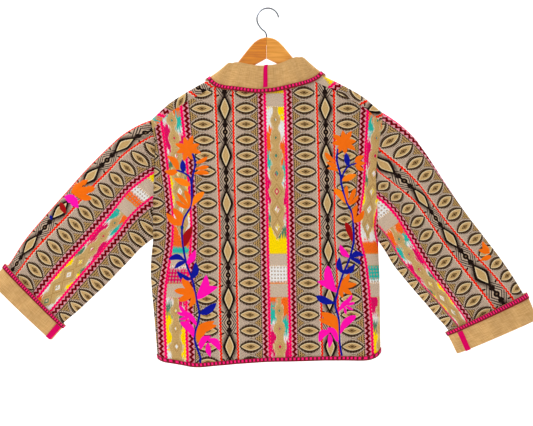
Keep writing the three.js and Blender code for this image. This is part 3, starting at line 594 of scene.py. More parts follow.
# ---------------------------------------------------------------- making cloth pieces
SEWN = "_sewn"  # a sewn piece is named for the solid that it replaces, and this
WELD = 2e-5  # metres between points that a ring's closing seam makes one
CREASE = math.radians(50)  # an edge sharper than this stays sharp


def take(obj):
    bpy.ops.object.select_all(action="DESELECT")
    obj.select_set(True)
    bpy.context.view_layer.objects.active = obj


def work_all(obj, work, **settings):
    """Does one kind of work on the whole of a mesh."""
    take(obj)
    bpy.ops.object.mode_set(mode="EDIT")
    bpy.ops.mesh.select_all(action="SELECT")
    work(**settings)
    bpy.ops.object.mode_set(mode="OBJECT")


def cut(name, columns, rows, place, cloth, ring=False):
    """A flat cut, whose points are laid at place(row, column), with the cloth's own measure on it."""
    bpy.ops.object.select_all(action="DESELECT")
    bpy.ops.mesh.primitive_grid_add(x_subdivisions=columns, y_subdivisions=rows, size=1)
    obj = bpy.context.object
    obj.name = obj.data.name = name
    mesh = obj.data
    flat = np.empty(len(mesh.vertices) * 3)
    mesh.vertices.foreach_get("co", flat)
    q, r = np.clip(flat.reshape(-1, 3)[:, :2].T + 0.5, 0, 1)
    points = place(r, q)
    u, v, *ikat = cloth(points, r, q)
    mesh.vertices.foreach_set("co", (points / 1000).ravel())
    for layer in list(mesh.uv_layers):
        mesh.uv_layers.remove(layer)
    corners = np.empty(len(mesh.loops), int)
    mesh.loops.foreach_get("vertex_index", corners)
    measure = mesh.uv_layers.new(name="cloth")
    measure.data.foreach_set("uv", (np.stack([u, v], -1)[corners] / 1000).ravel())
    for way, values in zip(("dye", "chain"), ikat):
        mesh.attributes.new(way, "FLOAT", "POINT").data.foreach_set("value", values / 1000)
    if ring:
        work_all(obj, bpy.ops.mesh.remove_doubles, threshold=WELD)
    return obj


# ---------------------------------------------------------------- materials
def linear(code):
    """An sRGB hex colour as linear red, green, blue and alpha."""
    parts = [int(code[i : i + 2], 16) / 255 for i in (1, 3, 5)]
    return [p / 12.92 if p <= 0.04045 else ((p + 0.055) / 1.055) ** 2.4 for p in parts] + [1]


def node(made, name, kind, inputs=(), out=0, **settings):
    """Adds one node, feeds it with values or with what was made before, and keeps its output by name."""
    new = made["tree"].nodes.new("ShaderNode" + kind)
    for key, value in settings.items():
        setattr(new, key, value)
    for key, value in dict(inputs).items():
        value = made[value] if isinstance(value, str) else value
        if isinstance(value, bpy.types.NodeSocket):
            made["tree"].links.new(value, new.inputs[key])
        else:
            new.inputs[key].default_value = value
    made[name] = new.outputs[out] if len(new.outputs) else None
    return made[name]


def worked_out(made, term):
    """A term is a number, a name, or a sum of its own: an operation, and the terms that it is done with."""
    if not isinstance(term, tuple):
        return term
    inputs = {i: worked_out(made, part) for i, part in enumerate(term[1:])}
    return node(made, "sum", "Math", inputs, operation=term[0])


def reckon(made, sums):
    """Works out a table of sums, row by row: a name, what is done, and what with."""
    for name, *done in sums:
        made[name] = worked_out(made, tuple(done))


def laid_over(made, ground, layers):
    """Colours laid over the ground in turn, each where its name or its sum says."""
    made["colour"] = linear(ground)
    for paint, *where in layers:
        share = worked_out(made, tuple(where)) if len(where) > 1 else where[0]
        inputs = {0: share, 6: made["colour"], 7: linear(paint) if paint[0] == "#" else paint}
        node(made, "colour", "Mix", inputs, out=2, data_type="RGBA")


def new_material(name):
    material = bpy.data.materials.new(name)
    material.use_nodes = True
    material.node_tree.nodes.clear()
    return {"material": material, "tree": material.node_tree}


def new_cloth(name):
    """A material that knows the cloth's own measure: u across it and v down it, in mm."""
    made = new_material(name)
    node(made, "measure", "UVMap", uv_map="cloth")
    in_mm = node(made, "in mm", "VectorMath", {0: "measure", "Scale": 1000}, operation="SCALE")
    parts = node(made, "u", "SeparateXYZ", {0: in_mm}).node
    made["v"] = parts.outputs[1]
    return made


def surfaced(made, colour, roughness, specular=0.5, **others):
    """Gives a material its surface, and hands it over."""
    inputs = {"Base Color": colour, "Roughness": roughness, "Specular IOR Level": specular, **others}
    if "normal" in made:
        inputs["Normal"] = "normal"
    node(made, "surface", "BsdfPrincipled", inputs)
    node(made, "output", "OutputMaterial", {0: "surface"})
    return made["material"]


def wave(term, long):
    """A wave along a term, this long from crest to crest."""
    return ("SINE", ("MULTIPLY", term, 2 * math.pi / long))


def outside_lens(half_wide, half_tall):
    """How far a point lies above or below a lens at an eye's middle."""
    fall = ("POWER", ("DIVIDE", "eye x", half_wide), 2)
    return ("SUBTRACT", "eye y", ("MULTIPLY", ("SUBTRACT", 1, fall), half_tall))


def figure(x, y, half_wide, half_tall, across=1, along=1):
    """Under 1 inside a figure: powers of 1 give a diamond, 2 an oval, and those between a fuller diamond."""
    return ("ADD", ("POWER", ("DIVIDE", x, half_wide), across), ("POWER", ("DIVIDE", y, half_tall), along))


def plain_blocks(more):
    """The ikat's two plain blocks, this much longer at each end."""
    first = ("COMPARE", "block near", 349.5, 12.5 + more)
    return ("MAXIMUM", first, ("COMPARE", "block near", 420, 15 + more))


EYE_AT = 48  # from the line of diamonds to the middle of the eyes
EYE_HALF_PITCH = 18.17  # three eyes go to a diamond
CHAIN_REPEAT = 436.0
CHAIN_LONG = 305
LUMP_PITCH = 41

# What the jacquard's figures are reckoned from. u is across the cloth and v down it, in mm, and d is the
# distance from the middle of the nearest line of diamonds.
JACQUARD = [
    ("dye run", "MULTIPLY", "dye way", 1000),
    ("chain run", "MULTIPLY", "chain way", 1000),
    ("d", "PINGPONG", "u", HALF_REPEAT),
    ("down", "SUBTRACT", "v", FIRST_DIAMOND),
    ("red d", "ADD", "d", wave("v", 7.8)),
    # diamonds, and the links between them
    ("column", "LESS_THAN", "red d", 16.2),
    ("gem y", "PINGPONG", "down", DIAMOND_PITCH / 2),
    ("gem off", *figure("d", "gem y", 9, 24, along=1.3)),
    ("rim off", *figure("d", "gem y", 14.6, 33, along=1.25)),
    ("shade near", "MULTIPLY", ("SUBTRACT", 1.62, "rim off"), "streak"),
    ("link y", "SUBTRACT", DIAMOND_PITCH / 2, "gem y"),
    ("link off", *figure("d", "link y", 6, 6.8, 2, 2)),
    ("ring off", "ADD", "d", ("MULTIPLY", "link y", 0.6)),
    ("ring line", "LESS_THAN", ("FRACT", ("DIVIDE", "ring off", 5.2)), 0.46),
    ("ring in", "MULTIPLY", "ring line", ("LESS_THAN", "ring off", 23)),
    ("tick lean", "MULTIPLY", ("SUBTRACT", "d", 14.6), 0.45),
    ("tick off", "SUBTRACT", ("SUBTRACT", "link y", 25), "tick lean"),
    # eyes
    ("bead", *wave("d", 3.4)),
    ("eye x", "SUBTRACT", "d", EYE_AT),
    ("eye y", "PINGPONG", "down", EYE_HALF_PITCH),
    ("in eyes", "COMPARE", "d", EYE_AT, 26.3),
    ("lens off", *outside_lens(27.6, 15)),
    ("lens", "MULTIPLY", ("LESS_THAN", ("ADD", "lens off", ("MULTIPLY", "bead", 1.4)), 0), "in eyes"),
    ("eye off", *outside_lens(22, 8.7)),
    ("pupil off", *figure(("ABSOLUTE", "eye x"), "eye y", 10.5, 4.6)),
    ("beside", "MULTIPLY", "in eyes", ("GREATER_THAN", "d", 46)),
    ("corner all", "MULTIPLY", "in eyes", ("GREATER_THAN", "d", 58)),
    ("corner", "MULTIPLY", ("GREATER_THAN", "lens off", 3.9), "corner all"),
    ("corner bands", "COSINE", ("MULTIPLY", "lens off", 2 * math.pi / 4.6)),
    # the ikat stripe: a chain of lumps comes and goes along it, and its dyes run in ragged blocks
    ("ikat x", "SUBTRACT", HALF_REPEAT, "d"),
    ("ikat", "LESS_THAN", "ikat x", 20.6),
    ("far side", "GREATER_THAN", ("FRACT", ("DIVIDE", "u", 2 * HALF_REPEAT)), 0.5),
    ("stray", "SUBTRACT", "thread", 0.5),
    ("chain part", "FRACT", ("DIVIDE", ("SUBTRACT", "chain run", 226), CHAIN_REPEAT)),
    ("chain at", "MULTIPLY", "chain part", CHAIN_REPEAT),
    ("chained", "SUBTRACT", 1, ("GREATER_THAN", "chain at", CHAIN_LONG)),
    ("far shift", "MULTIPLY", ("MULTIPLY", "far side", "chained"), 26),
    ("stray long", "MULTIPLY", "stray", ("ADD", ("MULTIPLY", "chained", 15), 6)),
    ("dye at", "SUBTRACT", ("ADD", "dye run", "stray long"), "far shift"),
    ("dye place", "FRACT", ("DIVIDE", "dye at", DYE_REPEAT)),
    ("block near", "ADD", "chain at", "stray"),
    ("plain teeth", "MULTIPLY", plain_blocks(3), ("GREATER_THAN", wave("d", 4.4), -0.1)),
    ("dot", "GREATER_THAN", ("ADD", wave("u", 7), wave("v", 8)), 0.85),
    ("dots", "MULTIPLY", ("COMPARE", "chain at", 383, 19), "dot"),
    ("chain most", "MINIMUM", ("ADD", ("MULTIPLY", "chain at", 0.05), 6.6), 16.5),
    ("lump down", "SUBTRACT", "chain at", 30),
    ("lump", "MULTIPLY", ("COSINE", ("MULTIPLY", "lump down", 2 * math.pi / LUMP_PITCH)), 2.7),
    ("chain point", "MULTIPLY", ("SUBTRACT", CHAIN_LONG, "chain at"), 0.45),
    ("chain shape", "MINIMUM", ("ADD", "chain most", "lump"), "chain point"),
    ("chain edge", "ADD", "chain shape", ("MULTIPLY", "stray", 4.5)),
    ("chain", "LESS_THAN", "ikat x", "chain edge"),
    ("knot both", *figure("ikat x", ("PINGPONG", "lump down", LUMP_PITCH / 2), 5.2, 8.2)),
    ("knot size", "MINIMUM", ("MAXIMUM", ("MULTIPLY", "chain at", 0.0058), 0.5), 1.1),
    ("knot off", "DIVIDE", "knot both", "knot size"),
    ("knot open", "MULTIPLY", ("LESS_THAN", "knot off", 0.5), ("GREATER_THAN", "chain at", 165)),
]
JACQUARD_GROUND = "#ab9380"
JACQUARD_LAYERS = [  # from the ground up: a colour, and where it shows
    ("#c9b39d", "mottle"),
    # diamonds: a streaked shade, thin six-sided rings, a dark rim, and the pale diamond with a deeper middle
    ("#544339", "MINIMUM", ("MULTIPLY", ("MULTIPLY", "shade near", 3.1), "column"), 0.92),
    ("#3a2d27", "MULTIPLY", "ring in", "column"),
    ("#1d120e", "LESS_THAN", "rim off", 1),
    ("#e2cb9f", "LESS_THAN", "gem off", 1),
    ("#c5a168", "LESS_THAN", "gem off", 0.76),
    # the chain of beads between them: a pale halo, the thread, drops, the bead and its hole
    ("#c2aa90", "LESS_THAN", "link off", 1.75),
    ("#1d120e", "MULTIPLY", ("LESS_THAN", "d", 2.3), ("COMPARE", "link y", 15, 12)),
    ("#1d120e", "LESS_THAN", figure("d", ("SUBTRACT", "link y", 16), 5.4, 5.6, 2, 2), 1),
    ("#1d120e", "LESS_THAN", "link off", 1),
    ("#7a624a", "LESS_THAN", "link off", 0.09),
    # ticks beside the red lines
    ("#241713", "MULTIPLY", ("COMPARE", "tick off", 0, 2), ("COMPARE", "d", 14.2, 3.4)),
    # between the eyes: thin lines that follow them, and a hatched corner beside the zigzag
    ("#dcc8b0", "MULTIPLY", ("COMPARE", "lens off", 1.2, 0.9), "beside"),
    ("#7a6148", "MULTIPLY", ("COMPARE", "lens off", 2.5, 0.6), "beside"),
    ("#c09a60", "corner"),
    ("#3f2a18", "MULTIPLY", "corner", ("GREATER_THAN", ("ADD", "corner bands", wave("d", 5.2)), 0.15)),
    # eyes: a beaded dark lens with a pale one in it, and a pupil
    ("#24160f", "lens"),
    ("#6b5038", "MULTIPLY", "lens", ("GREATER_THAN", "bead", 0.55)),
    ("#e6cfa4", "LESS_THAN", "eye off", 0),
    ("#c8a46c", "LESS_THAN", "eye off", -1.7),
    ("#4a321d", "LESS_THAN", "pupil off", 1),
    ("#a5804f", "LESS_THAN", "pupil off", 0.68),
    ("#3c2716", "LESS_THAN", "pupil off", 0.4),
    # the orange-red line and its pale edge, the zigzag on pink, and a broken brown line
    ("#dccab4", "COMPARE", "red d", 22.4, 0.9),
    ("#f21c04", "COMPARE", "red d", 19, 2.3),
    ("#e0929e", "COMPARE", "d", 82.6, 6.5),
    ("#70000f", "COMPARE", ("SUBTRACT", "d", ("SUBTRACT", ("PINGPONG", "v", 6), 3)), 82.2, 3.6),
    ("#4a331f", "MULTIPLY", ("COMPARE", "d", 74.6, 1.3), ("GREATER_THAN", wave("v", 4.4), -0.5)),
    # the ikat stripe: its dyes, dotted and plain blocks, the chain with its rim, and knots on the chain
    ("side dye", "ikat"),
    ("#b39a80", "MULTIPLY", "dots", "ikat"),
    ("#d2a04c", "MULTIPLY", "plain teeth", "ikat"),
    ("#cbb39c", "MULTIPLY", plain_blocks(0), "ikat"),
    ("#c8a367", "chain"),
    ("#dcc49a", "COMPARE", "ikat x", "chain edge", 0.8),
    ("#b48a50", "MULTIPLY", ("COMPARE", "knot off", 2.1, 0.22), "chain"),
    ("knot dye", "MULTIPLY", ("LESS_THAN", "knot off", 1), "chained"),
    ("#e0c69a", "MULTIPLY", "knot open", "chained"),
    # the magenta line beside it
    ("#ff0062", "COMPARE", ("ADD", "d", wave("v", 8)), 91.7, 3.1),
]
# The ikat's dyes along the stripe, from where the yellow starts.
DYES = [
    (0, "#ffd900"), (72, "#ffd900"), (77, "#ece8e4"), (124, "#ece8e4"), (129, "#f76a1a"), (178, "#f5661c"),
    (183, "#2ab5a5"), (216, "#2ab5a5"), (221, "#ece8e4"), (229, "#ece8e4"), (235, "#dc1060"),
    (296, "#dc1060"), (301, "#e4dcd4"), (312, "#e4dcd4"), (318, "#4f7a60"), (340, "#4f7a60"),
    (346, "#ffd900"),
]
KNOT_DYES = [
    (0, "#f0ece6"), (90, "#4c7a5e"), (190, "#1f9484"), (228, "#d0104c"), (290, "#f0ece6"), (320, "#e8c818"),
]


def dyed(made, name, dyes, interpolation):
    """The dye at each place along the ikat stripe."""
    ramp = node(made, name, "ValToRGB", {0: "dye place"}).node.color_ramp
    ramp.interpolation = interpolation
    for at, colour in dyes[1:]:
        ramp.elements.new(at / DYE_REPEAT)
    while len(ramp.elements) > len(dyes):
        ramp.elements.remove(ramp.elements[-1])
    for element, (at, colour) in zip(ramp.elements, dyes):
        element.position = at / DYE_REPEAT
        element.color = linear(colour)


def woven_relief(made, thread, strength, distance, under=()):
    """Threads over and under each other, drawn coarse enough to show, on what is under them."""
    reckon(made, [
        ("over under", "MULTIPLY", wave("u", thread), wave("v", thread)),
        ("relief", "ADD", "over under", ("MULTIPLY", "fleck", 1.4)),
    ])
    inputs = {"Strength": strength, "Distance": distance / 1000, "Height": "relief", **dict(under)}
    node(made, "normal", "Bump", inputs)


# Jacquard: a wool and cotton weave of many colours with a dry, slightly napped face. It gives broken,
# thread-wide edges to every figure and no shine.
def jacquard_cloth():
    made = new_cloth("woven jacquard")
    for way in ("dye", "chain"):
        node(made, way + " way", "Attribute", out="Fac", attribute_name=way)
    node(made, "fleck", "TexNoise", {"Vector": "in mm", "Scale": 0.55, "Detail": 3})
    # Streaks 1.6 mm wide that run down the cloth.
    node(made, "drawn", "VectorMath", {0: "in mm", 1: (0.6, 0.07, 0)}, operation="MULTIPLY")
    node(made, "streak", "TexNoise", {"Vector": "drawn", "Scale": 1, "Detail": 2})
    # Each thread, 1.3 mm wide, strays by its own chance, and anew every 19 mm down.
    reckon(made, [("thread no", "FLOOR", ("DIVIDE", "u", 1.3)), ("block no", "FLOOR", ("DIVIDE", "v", 19))])
    node(made, "spot", "CombineXYZ", {0: "thread no", 1: "block no"})
    node(made, "thread", "TexWhiteNoise", {"Vector": "spot"}, noise_dimensions="3D")
    reckon(made, JACQUARD)
    dyed(made, "side dye", DYES, "LINEAR")
    dyed(made, "knot dye", KNOT_DYES, "CONSTANT")
    node(made, "mottle", "MapRange", {0: "fleck", 1: 0.3, 2: 0.7, 3: 0, 4: 1})
    laid_over(made, JACQUARD_GROUND, JACQUARD_LAYERS)
    # Every thread is a little lighter or darker than the next.
    node(made, "grain", "MapRange", {0: "fleck", 1: 0.3, 2: 0.7, 3: 0.62, 4: 1.2})
    node(made, "shaded", "VectorMath", {0: "colour", "Scale": "grain"}, operation="SCALE")
    woven_relief(made, 2.6, 0.5, 0.5)
    return surfaced(made, "shaded", 0.95, 0.05)


# Plain-woven cotton canvas in an undyed beige: slubs along both threads, large soft patches painted lighter
# and darker as a painted shade of soft wrinkles, and a matt face.
def canvas(name, light, dark):
    made = new_cloth(name)
    for slub, stretch in (("slub down", (0.05, 0.75, 0)), ("slub across", (0.75, 0.05, 0))):
        node(made, "drawn", "VectorMath", {0: "in mm", 1: stretch}, operation="MULTIPLY")
        node(made, slub, "TexNoise", {"Vector": "drawn", "Scale": 1, "Detail": 3})
    reckon(made, [("slubs", "ADD", "slub down", "slub across")])
    node(made, "spread", "MapRange", {0: "slubs", 1: 0.75, 2: 1.25, 3: 0, 4: 1})
    laid_over(made, dark, [(light, "spread")])
    node(made, "fleck", "TexNoise", {"Vector": "in mm", "Scale": 0.8, "Detail": 3})
    # Painted shade: the same large patches that rumple the bump make the colour darker in their hollows and
    # lighter on their crests, as the shade of soft wrinkles.
    node(made, "patch", "TexNoise", {"Vector": "in mm", "Scale": 0.028, "Detail": 2})
    node(made, "painted wrinkle shade", "MapRange", {0: "patch", 1: 0.35, 2: 0.65, 3: 0.9, 4: 1.08})
    node(made, "shaded", "VectorMath", {0: "colour", "Scale": "painted wrinkle shade"}, operation="SCALE")
    node(made, "rumple", "Bump", {"Strength": 0.6, "Distance": 0.006, "Height": "patch"})
    woven_relief(made, 2.4, 0.5, 0.5, {"Normal": "rumple"})
    return surfaced(made, "shaded", 0.95, 0.1)


# Woven edge braid: magenta squares of rayon floats, with a small shine, on a maroon ground.
def braid_weave():
    made = new_cloth("scalloped braid")
    node(made, "fleck", "TexNoise", {"Vector": "in mm", "Scale": 1.2, "Detail": 2})
    reckon(made, [("run", "FRACT", ("DIVIDE", "u", 9.8)), ("tall", "COMPARE", "v", 4.1, 2.7)])
    laid_over(made, "#84001e", [
        ("#9c0034", "LESS_THAN", "v", 1.3),
        ("#fa0870", "MULTIPLY", ("LESS_THAN", "run", 0.52), "tall"),
        ("#4a0412", "MULTIPLY", ("COMPARE", "run", 0.78, 0.12), "tall"),
    ])
    woven_relief(made, 1.8, 0.6, 0.4)
    return surfaced(made, "colour", 0.7, 0.2)


# Magenta grosgrain tape: ribs across it, and almost no sheen.
def ribbed_tape():
    made = new_cloth("grosgrain tape")
    node(made, "fleck", "TexNoise", {"Vector": "in mm", "Scale": 0.9, "Detail": 2})
    laid_over(made, "#be004e", [("#e20062", "fleck")])
    reckon(made, [("rib", *wave("v", 1.8))])
    node(made, "normal", "Bump", {"Strength": 0.5, "Distance": 0.0003, "Height": "rib"})
    return surfaced(made, "colour", 0.8, 0.05)


# Satin stitch in rayon thread: close parallel threads across each leaf, and a faint gloss.
def stitched_thread(name, colour):
    made = new_cloth(name)
    reckon(made, [("stitch", *wave("v", 1.3))])
    node(made, "normal", "Bump", {"Strength": 0.45, "Distance": 0.0003, "Height": "stitch"})
    return surfaced(made, linear(colour), 0.7, 0.1)


# Varnished beech: long grain along the arm, and a satin coat.
def varnished_wood(name, light, dark):
    made = new_material(name)
    node(made, "place", "TexCoord", out="Object")
    node(made, "along", "Mapping", {0: "place", "Rotation": (0, 0.45, 0), "Scale": (14, 160, 190)})
    node(made, "grain", "TexNoise", {"Vector": "along", "Scale": 1, "Detail": 5, "Distortion": 0.6})
    node(made, "spread", "MapRange", {0: "grain", 1: 0.35, 2: 0.65, 3: 0, 4: 1})
    laid_over(made, dark, [(light, "spread")])
    node(made, "normal", "Bump", {"Strength": 0.15, "Distance": 0.0004, "Height": "grain"})
    return surfaced(made, "colour", 0.38, **{"Coat Weight": 0.12, "Coat Roughness": 0.2})


# Drawn steel wire, bright plated: smooth, with blurred reflections.
def plated_wire():
    return surfaced(new_material("plated steel wire"), linear("#73777f"), 0.25, Metallic=1)


# ---------------------------------------------------------------- the pieces
STUFFS = {  # thickness, and the cloth outside and in
    "jacquard": (CLOTH, jacquard_cloth(), canvas("beige lining", "#cdb089", "#b8966a")),
    "plain_cloth": (CLOTH, canvas("beige cotton canvas", "#d8ad74", "#bd9055")),
    "braid": (BRAID, braid_weave()),
    "tape": (TAPE, ribbed_tape()),
}
BRAID_LIFT = CLOTH / 2 + SEAM_GAP * 1.5 + BRAID / 2
TAPE_LIFT = CLOTH / 2 + SEAM_GAP * 1.5 + TAPE / 2
PANEL_ENDS = 0.9988
HANDS = (("left", -1), ("right", 1))


def sew(name, stuff, columns, rows, place, cloth, ring=False, nodes=None):
    """Cuts a piece, gives it its thickness and its cloth, and puts it in the frame."""
    obj = cut(name + SEWN, columns, rows, place, cloth, ring)
    thick, *materials = STUFFS[stuff]
    for material in materials:
        obj.data.materials.append(material)
    take(obj)
    bpy.ops.object.modifier_add(type="SOLIDIFY")
    wall = obj.modifiers[-1]
    wall.thickness = thick / 1000
    wall.offset = 0
    wall.use_rim = True
    wall.material_offset = len(materials) - 1
    bpy.ops.object.modifier_apply(modifier=wall.name)
    bpy.ops.object.shade_smooth_by_angle(angle=CREASE)
    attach(obj, "root")
    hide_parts(*(nodes or [name]))


def braid_cloth(length):
    """Along a braid and across it, from its upper edge."""
    return lambda points, r, q: (q * length, r * BRAID_WIDTH)


def spread_columns(q):
    """Across a panel from -1 to 1, with columns as close at the turned sides as in the middle."""
    return np.interp(q, [0, 0.09, 0.91, 1], [-1, -FLAT_SHARE, FLAT_SHARE, 1]) * PANEL_ENDS


BACK_HEM_LONG = 550
sew(
    "back_panel", "jacquard", 134, 162, lambda r, q: back(r, spread_columns(q)),
    lambda points, r, q: back_cloth(points),
)
hem_face = lifted(back_hem, BRAID_LIFT)
sew(
    "hem_braid_back", "braid", 150, 4, lambda r, q: hem_face(r, spread_columns(q)),
    braid_cloth(BACK_HEM_LONG),
)


LAPEL_FOOT = -424.0
FRONT_WIDTH = 255.0
FRONT_HEM_LONG = 265
EDGE_BRAID_LONG = 385
LAST_ROW = WRAP_ROWS + BODY_ROWS
FRONT_ROWS = np.concatenate([np.linspace(0, WRAP_ROWS, 26), np.linspace(WRAP_ROWS, LAST_ROW, 146)[1:]])


def front_row(r):
    return np.interp(r, np.linspace(0, 1, len(FRONT_ROWS)), FRONT_ROWS)


def between(side, start, end):
    """A front's columns from left to right, between two shares of its width from the inner edge."""
    low, high = (start, end) if side > 0 else (1 - end, 1 - start)
    return lambda q: lerp(low, high, q)


for name, side in HANDS:
    face = front(side)
    measure = front_cloth(side)
    panel_at = between(side, 0, PANEL_ENDS)
    sew(
        f"front_{name}", "jacquard", 64, len(FRONT_ROWS) - 1,
        lambda r, q: face(front_row(r), panel_at(q)), lambda points, r, q: measure(points),
    )

    hem_face = lifted(front_hem(side), BRAID_LIFT)
    hem_at = between(side, (BRAID_WIDTH + SEAM_GAP * 2) / FRONT_WIDTH, PANEL_ENDS)
    sew(
        f"hem_braid_front_{name}", "braid", 76, 4, lambda r, q: hem_face(r, hem_at(q)),
        braid_cloth(FRONT_HEM_LONG),
    )

    edge_face = lifted(face, BRAID_LIFT)
    edge_at = between(side, 0, BRAID_WIDTH / FRONT_WIDTH)
    rows = np.linspace(WRAP_ROWS, LAST_ROW, 400)
    start = rows[front_place(side, rows, 0 * rows)[1] < LAPEL_FOOT][0]
    sew(
        f"front_braid_{name}", "braid", 4, 110,
        lambda r, q: edge_face(lerp(start, LAST_ROW, r), edge_at(q)),
        lambda points, r, q: (r * EDGE_BRAID_LONG, (1 - q if side > 0 else q) * BRAID_WIDTH),
    )

SLEEVE_FLATNESS = 2.2  # times as tall as deep, for columns that lie evenly round it
TURN = np.linspace(0, 1, 721)
ROUND = np.unwrap(np.arctan2(np.sin(TURN * 2 * math.pi) / SLEEVE_FLATNESS, np.cos(TURN * 2 * math.pi)))


def from_seam(q):
    """Round the sleeve from its under-arm seam, as a share of a turn from the top fold."""
    return 0.5 + np.interp(q, TURN, ROUND) / (2 * math.pi)


TAPES = {"left": (0.555, 0.027), "right": (0.391, 0.0155)}  # middle and half width, in turns round the cuff
TAPE_TOP = BRAID_WIDTH / CUFF_TURN + 0.02
CUFF_DEEP = 56
CUFF_TAPE_LONG = 45
CUFF_BRAID_FINER = 1.6  # how much finer the cuffs' braid is than the hem's
for name, side in HANDS:
    face = sleeve(side)
    measure = sleeve_cloth(side)
    sew(
        f"sleeve_{name}", "jacquard", 128, 126, lambda r, q: face(r * CUFF_FOLD, from_seam(q)),
        lambda points, r, q: measure(points, r * CUFF_FOLD, from_seam(q)),
        ring=True, nodes=[f"sleeve_{name}_front", f"sleeve_{name}_back"],
    )

    turned = cuff(side)
    run_x, run_z = SLEEVE_GRAIN[side]["run"]

    def along_edge(points):
        return points[:, 2] * run_x - points[:, 0] * run_z

    sew(
        f"cuff_{name}", "plain_cloth", 128, 22, lambda r, q: turned(r * 2, from_seam(q)),
        lambda points, r, q: (along_edge(points), r * CUFF_DEEP), ring=True,
    )

    braid_face = lifted(turned, BRAID_LIFT, (0, 2))
    sew(
        f"cuff_braid_{name}", "braid", 160, 4,
        lambda r, q: braid_face(r * BRAID_WIDTH / CUFF_TURN, from_seam(q)),
        lambda points, r, q: (along_edge(points) * CUFF_BRAID_FINER, r * BRAID_WIDTH), ring=True,
    )

    middle_at, half = TAPES[name]
    tape_face = lifted(turned, TAPE_LIFT, (0, 2))
    sew(
        f"cuff_tape_{name}", "tape", 6, 26,
        lambda r, q: tape_face(lerp(TAPE_TOP, 1.5, r), middle_at + half * (2 * q - 1)),
        lambda points, r, q: (q * TAPE_WIDTH, r * CUFF_TAPE_LONG),
    )

COLLAR_TURN = 413.0  # mm of collar for each 1 of w
COLLAR_EDGE_TURN = 470.0
COLLAR_DEEP = 95
COLLAR_TAPE_LONG = 60
COLLAR_TAPE = (0.073, 0.58)  # where it starts and ends, as shares of the collar from the fall's edge
TAPE_TURN = TAPE_WIDTH / COLLAR_TURN


def collar_row(r):
    """From one lapel's end to the other's, with rows closer where the collar lies on the fronts."""
    return np.interp(r, [0, 0.25, 0.75, 1], [-1, -0.5, 0.5, 1])


sew(
    "collar", "plain_cloth", 40, 300, lambda r, q: collar(collar_row(r), q),
    lambda points, r, q: (q * COLLAR_DEEP, collar_row(r) * COLLAR_TURN),
)
edge_braid = lifted(collar_edge, BRAID_LIFT, (-1, 1))
sew(
    "collar_braid", "braid", 4, 330, lambda r, q: edge_braid(collar_row(r), q),
    lambda points, r, q: (collar_row(r) * COLLAR_EDGE_TURN, q * BRAID_WIDTH),
)
seam_tape = lifted(lambda r, q: collar((q - 0.5) * TAPE_TURN, 1 - r), TAPE_LIFT)
sew(
    "collar_tape", "tape", 6, 40, lambda r, q: seam_tape(lerp(*COLLAR_TAPE, r), q),
    lambda points, r, q: (q * TAPE_WIDTH, r * COLLAR_TAPE_LONG),
)


# ---------------------------------------------------------------- the embroidery
def back_ground(x, z):
    """The back's depth at x and z, on the turned sides too."""
    side = np.where(x < 0, -1.0, 1.0)
    flat = half_width(side, z) - SIDE_ROUND
    end = np.arccos(openness(side, z))
    reach = np.clip((np.abs(x) - flat) / SIDE_ROUND, 0, 1)
    turned = np.where(end > 1e-3, np.arcsin(reach * np.sin(end)) / np.maximum(end, 1e-6), reach)
    past = FLAT_SHARE + (1 - FLAT_SHARE) * turned
    across = side * np.where(np.abs(x) < flat, np.abs(x) / flat * FLAT_SHARE, past)
    return body_point(across, z, True)[:, 1]


def sleeve_ground(side):
    """The sleeve's back at x and z, by the nearest of a close net of its points."""
    net_at, net_around = np.meshgrid(np.linspace(0, CUFF_AT, 120), np.linspace(0, 0.5, 90))
    points = sleeve(side)(net_at.ravel(), net_around.ravel() + (0.5 if side < 0 else 0))

    def depth_at(x, z):
        near = np.argmin((points[:, 0] - x[:, None]) ** 2 + (points[:, 2] - z[:, None]) ** 2, axis=1)
        return points[near, 1]

    return depth_at


STITCH_SUNK = 0.15  # the stitching's edges lie this deep in the cloth
PETAL_HIGH = 1.0
STEM_HIGH = 1.3
STEM_LONG = 480
PETALS = {"leaf": (0.46, 0.78), "lobe": (0.6, 0.62)}  # where the widest part is, and how full the ends are
LOBE = 0.38  # a petal narrower than this share of its length is a round-tipped lobe


def stitched_over(ground, high, x, z, t):
    """Puts a flat shape's points on the cloth, with its middle, where t is 0, raised."""
    return np.stack([x, ground(x, z) - CLOTH / 2 - high * (1 - t * t) + STITCH_SUNK, z], -1)


def petal(ground, x, z, degrees, long, wide, bend):
    """One satin-stitched petal from its foot at x and z, whose spine leans out by bend on its way."""
    a = math.radians(degrees)
    widest, fullness = PETALS["lobe" if wide < LOBE * long else "leaf"]
    lean = math.log(0.5) / math.log(widest)

    def lay(r, q):
        t = 2 * q - 1
        aside = bend * np.sin(math.pi * r) + wide / 2 * np.sin(math.pi * r**lean) ** fullness * t
        px = x + long * r * math.cos(a) - aside * math.sin(a)
        pz = z + long * r * math.sin(a) + aside * math.cos(a)
        return stitched_over(ground, PETAL_HIGH, px, pz, t)

    return cut("petal", 6, 12, lay, lambda points, r, q: (q * wide, r * long))


def stem(ground, points, wide):
    """A corded stem along a smooth curve through points."""

    def on_curve(r):
        return rounded(np.broadcast_to(np.array(points, float), (len(r), len(points), 2)), r)

    def lay(r, q):
        x, z = on_curve(r).T
        way_x, way_z = unit(on_curve(np.clip(r + 0.01, 0, 1)) - on_curve(np.clip(r - 0.01, 0, 1))).T
        t = 2 * q - 1
        return stitched_over(ground, STEM_HIGH, x - way_z * t * wide / 2, z + way_x * t * wide / 2, t)

    return cut("stem", 4, 14 * len(points), lay, lambda points, r, q: (q * wide, r * STEM_LONG))


def star(turned):
    """Eight petals round one foot, a short and a long one in turn."""
    return [(turned + 90 * i + lean, long, 14, 0) for i in range(4) for lean, long in ((0, 28), (50, 32))]


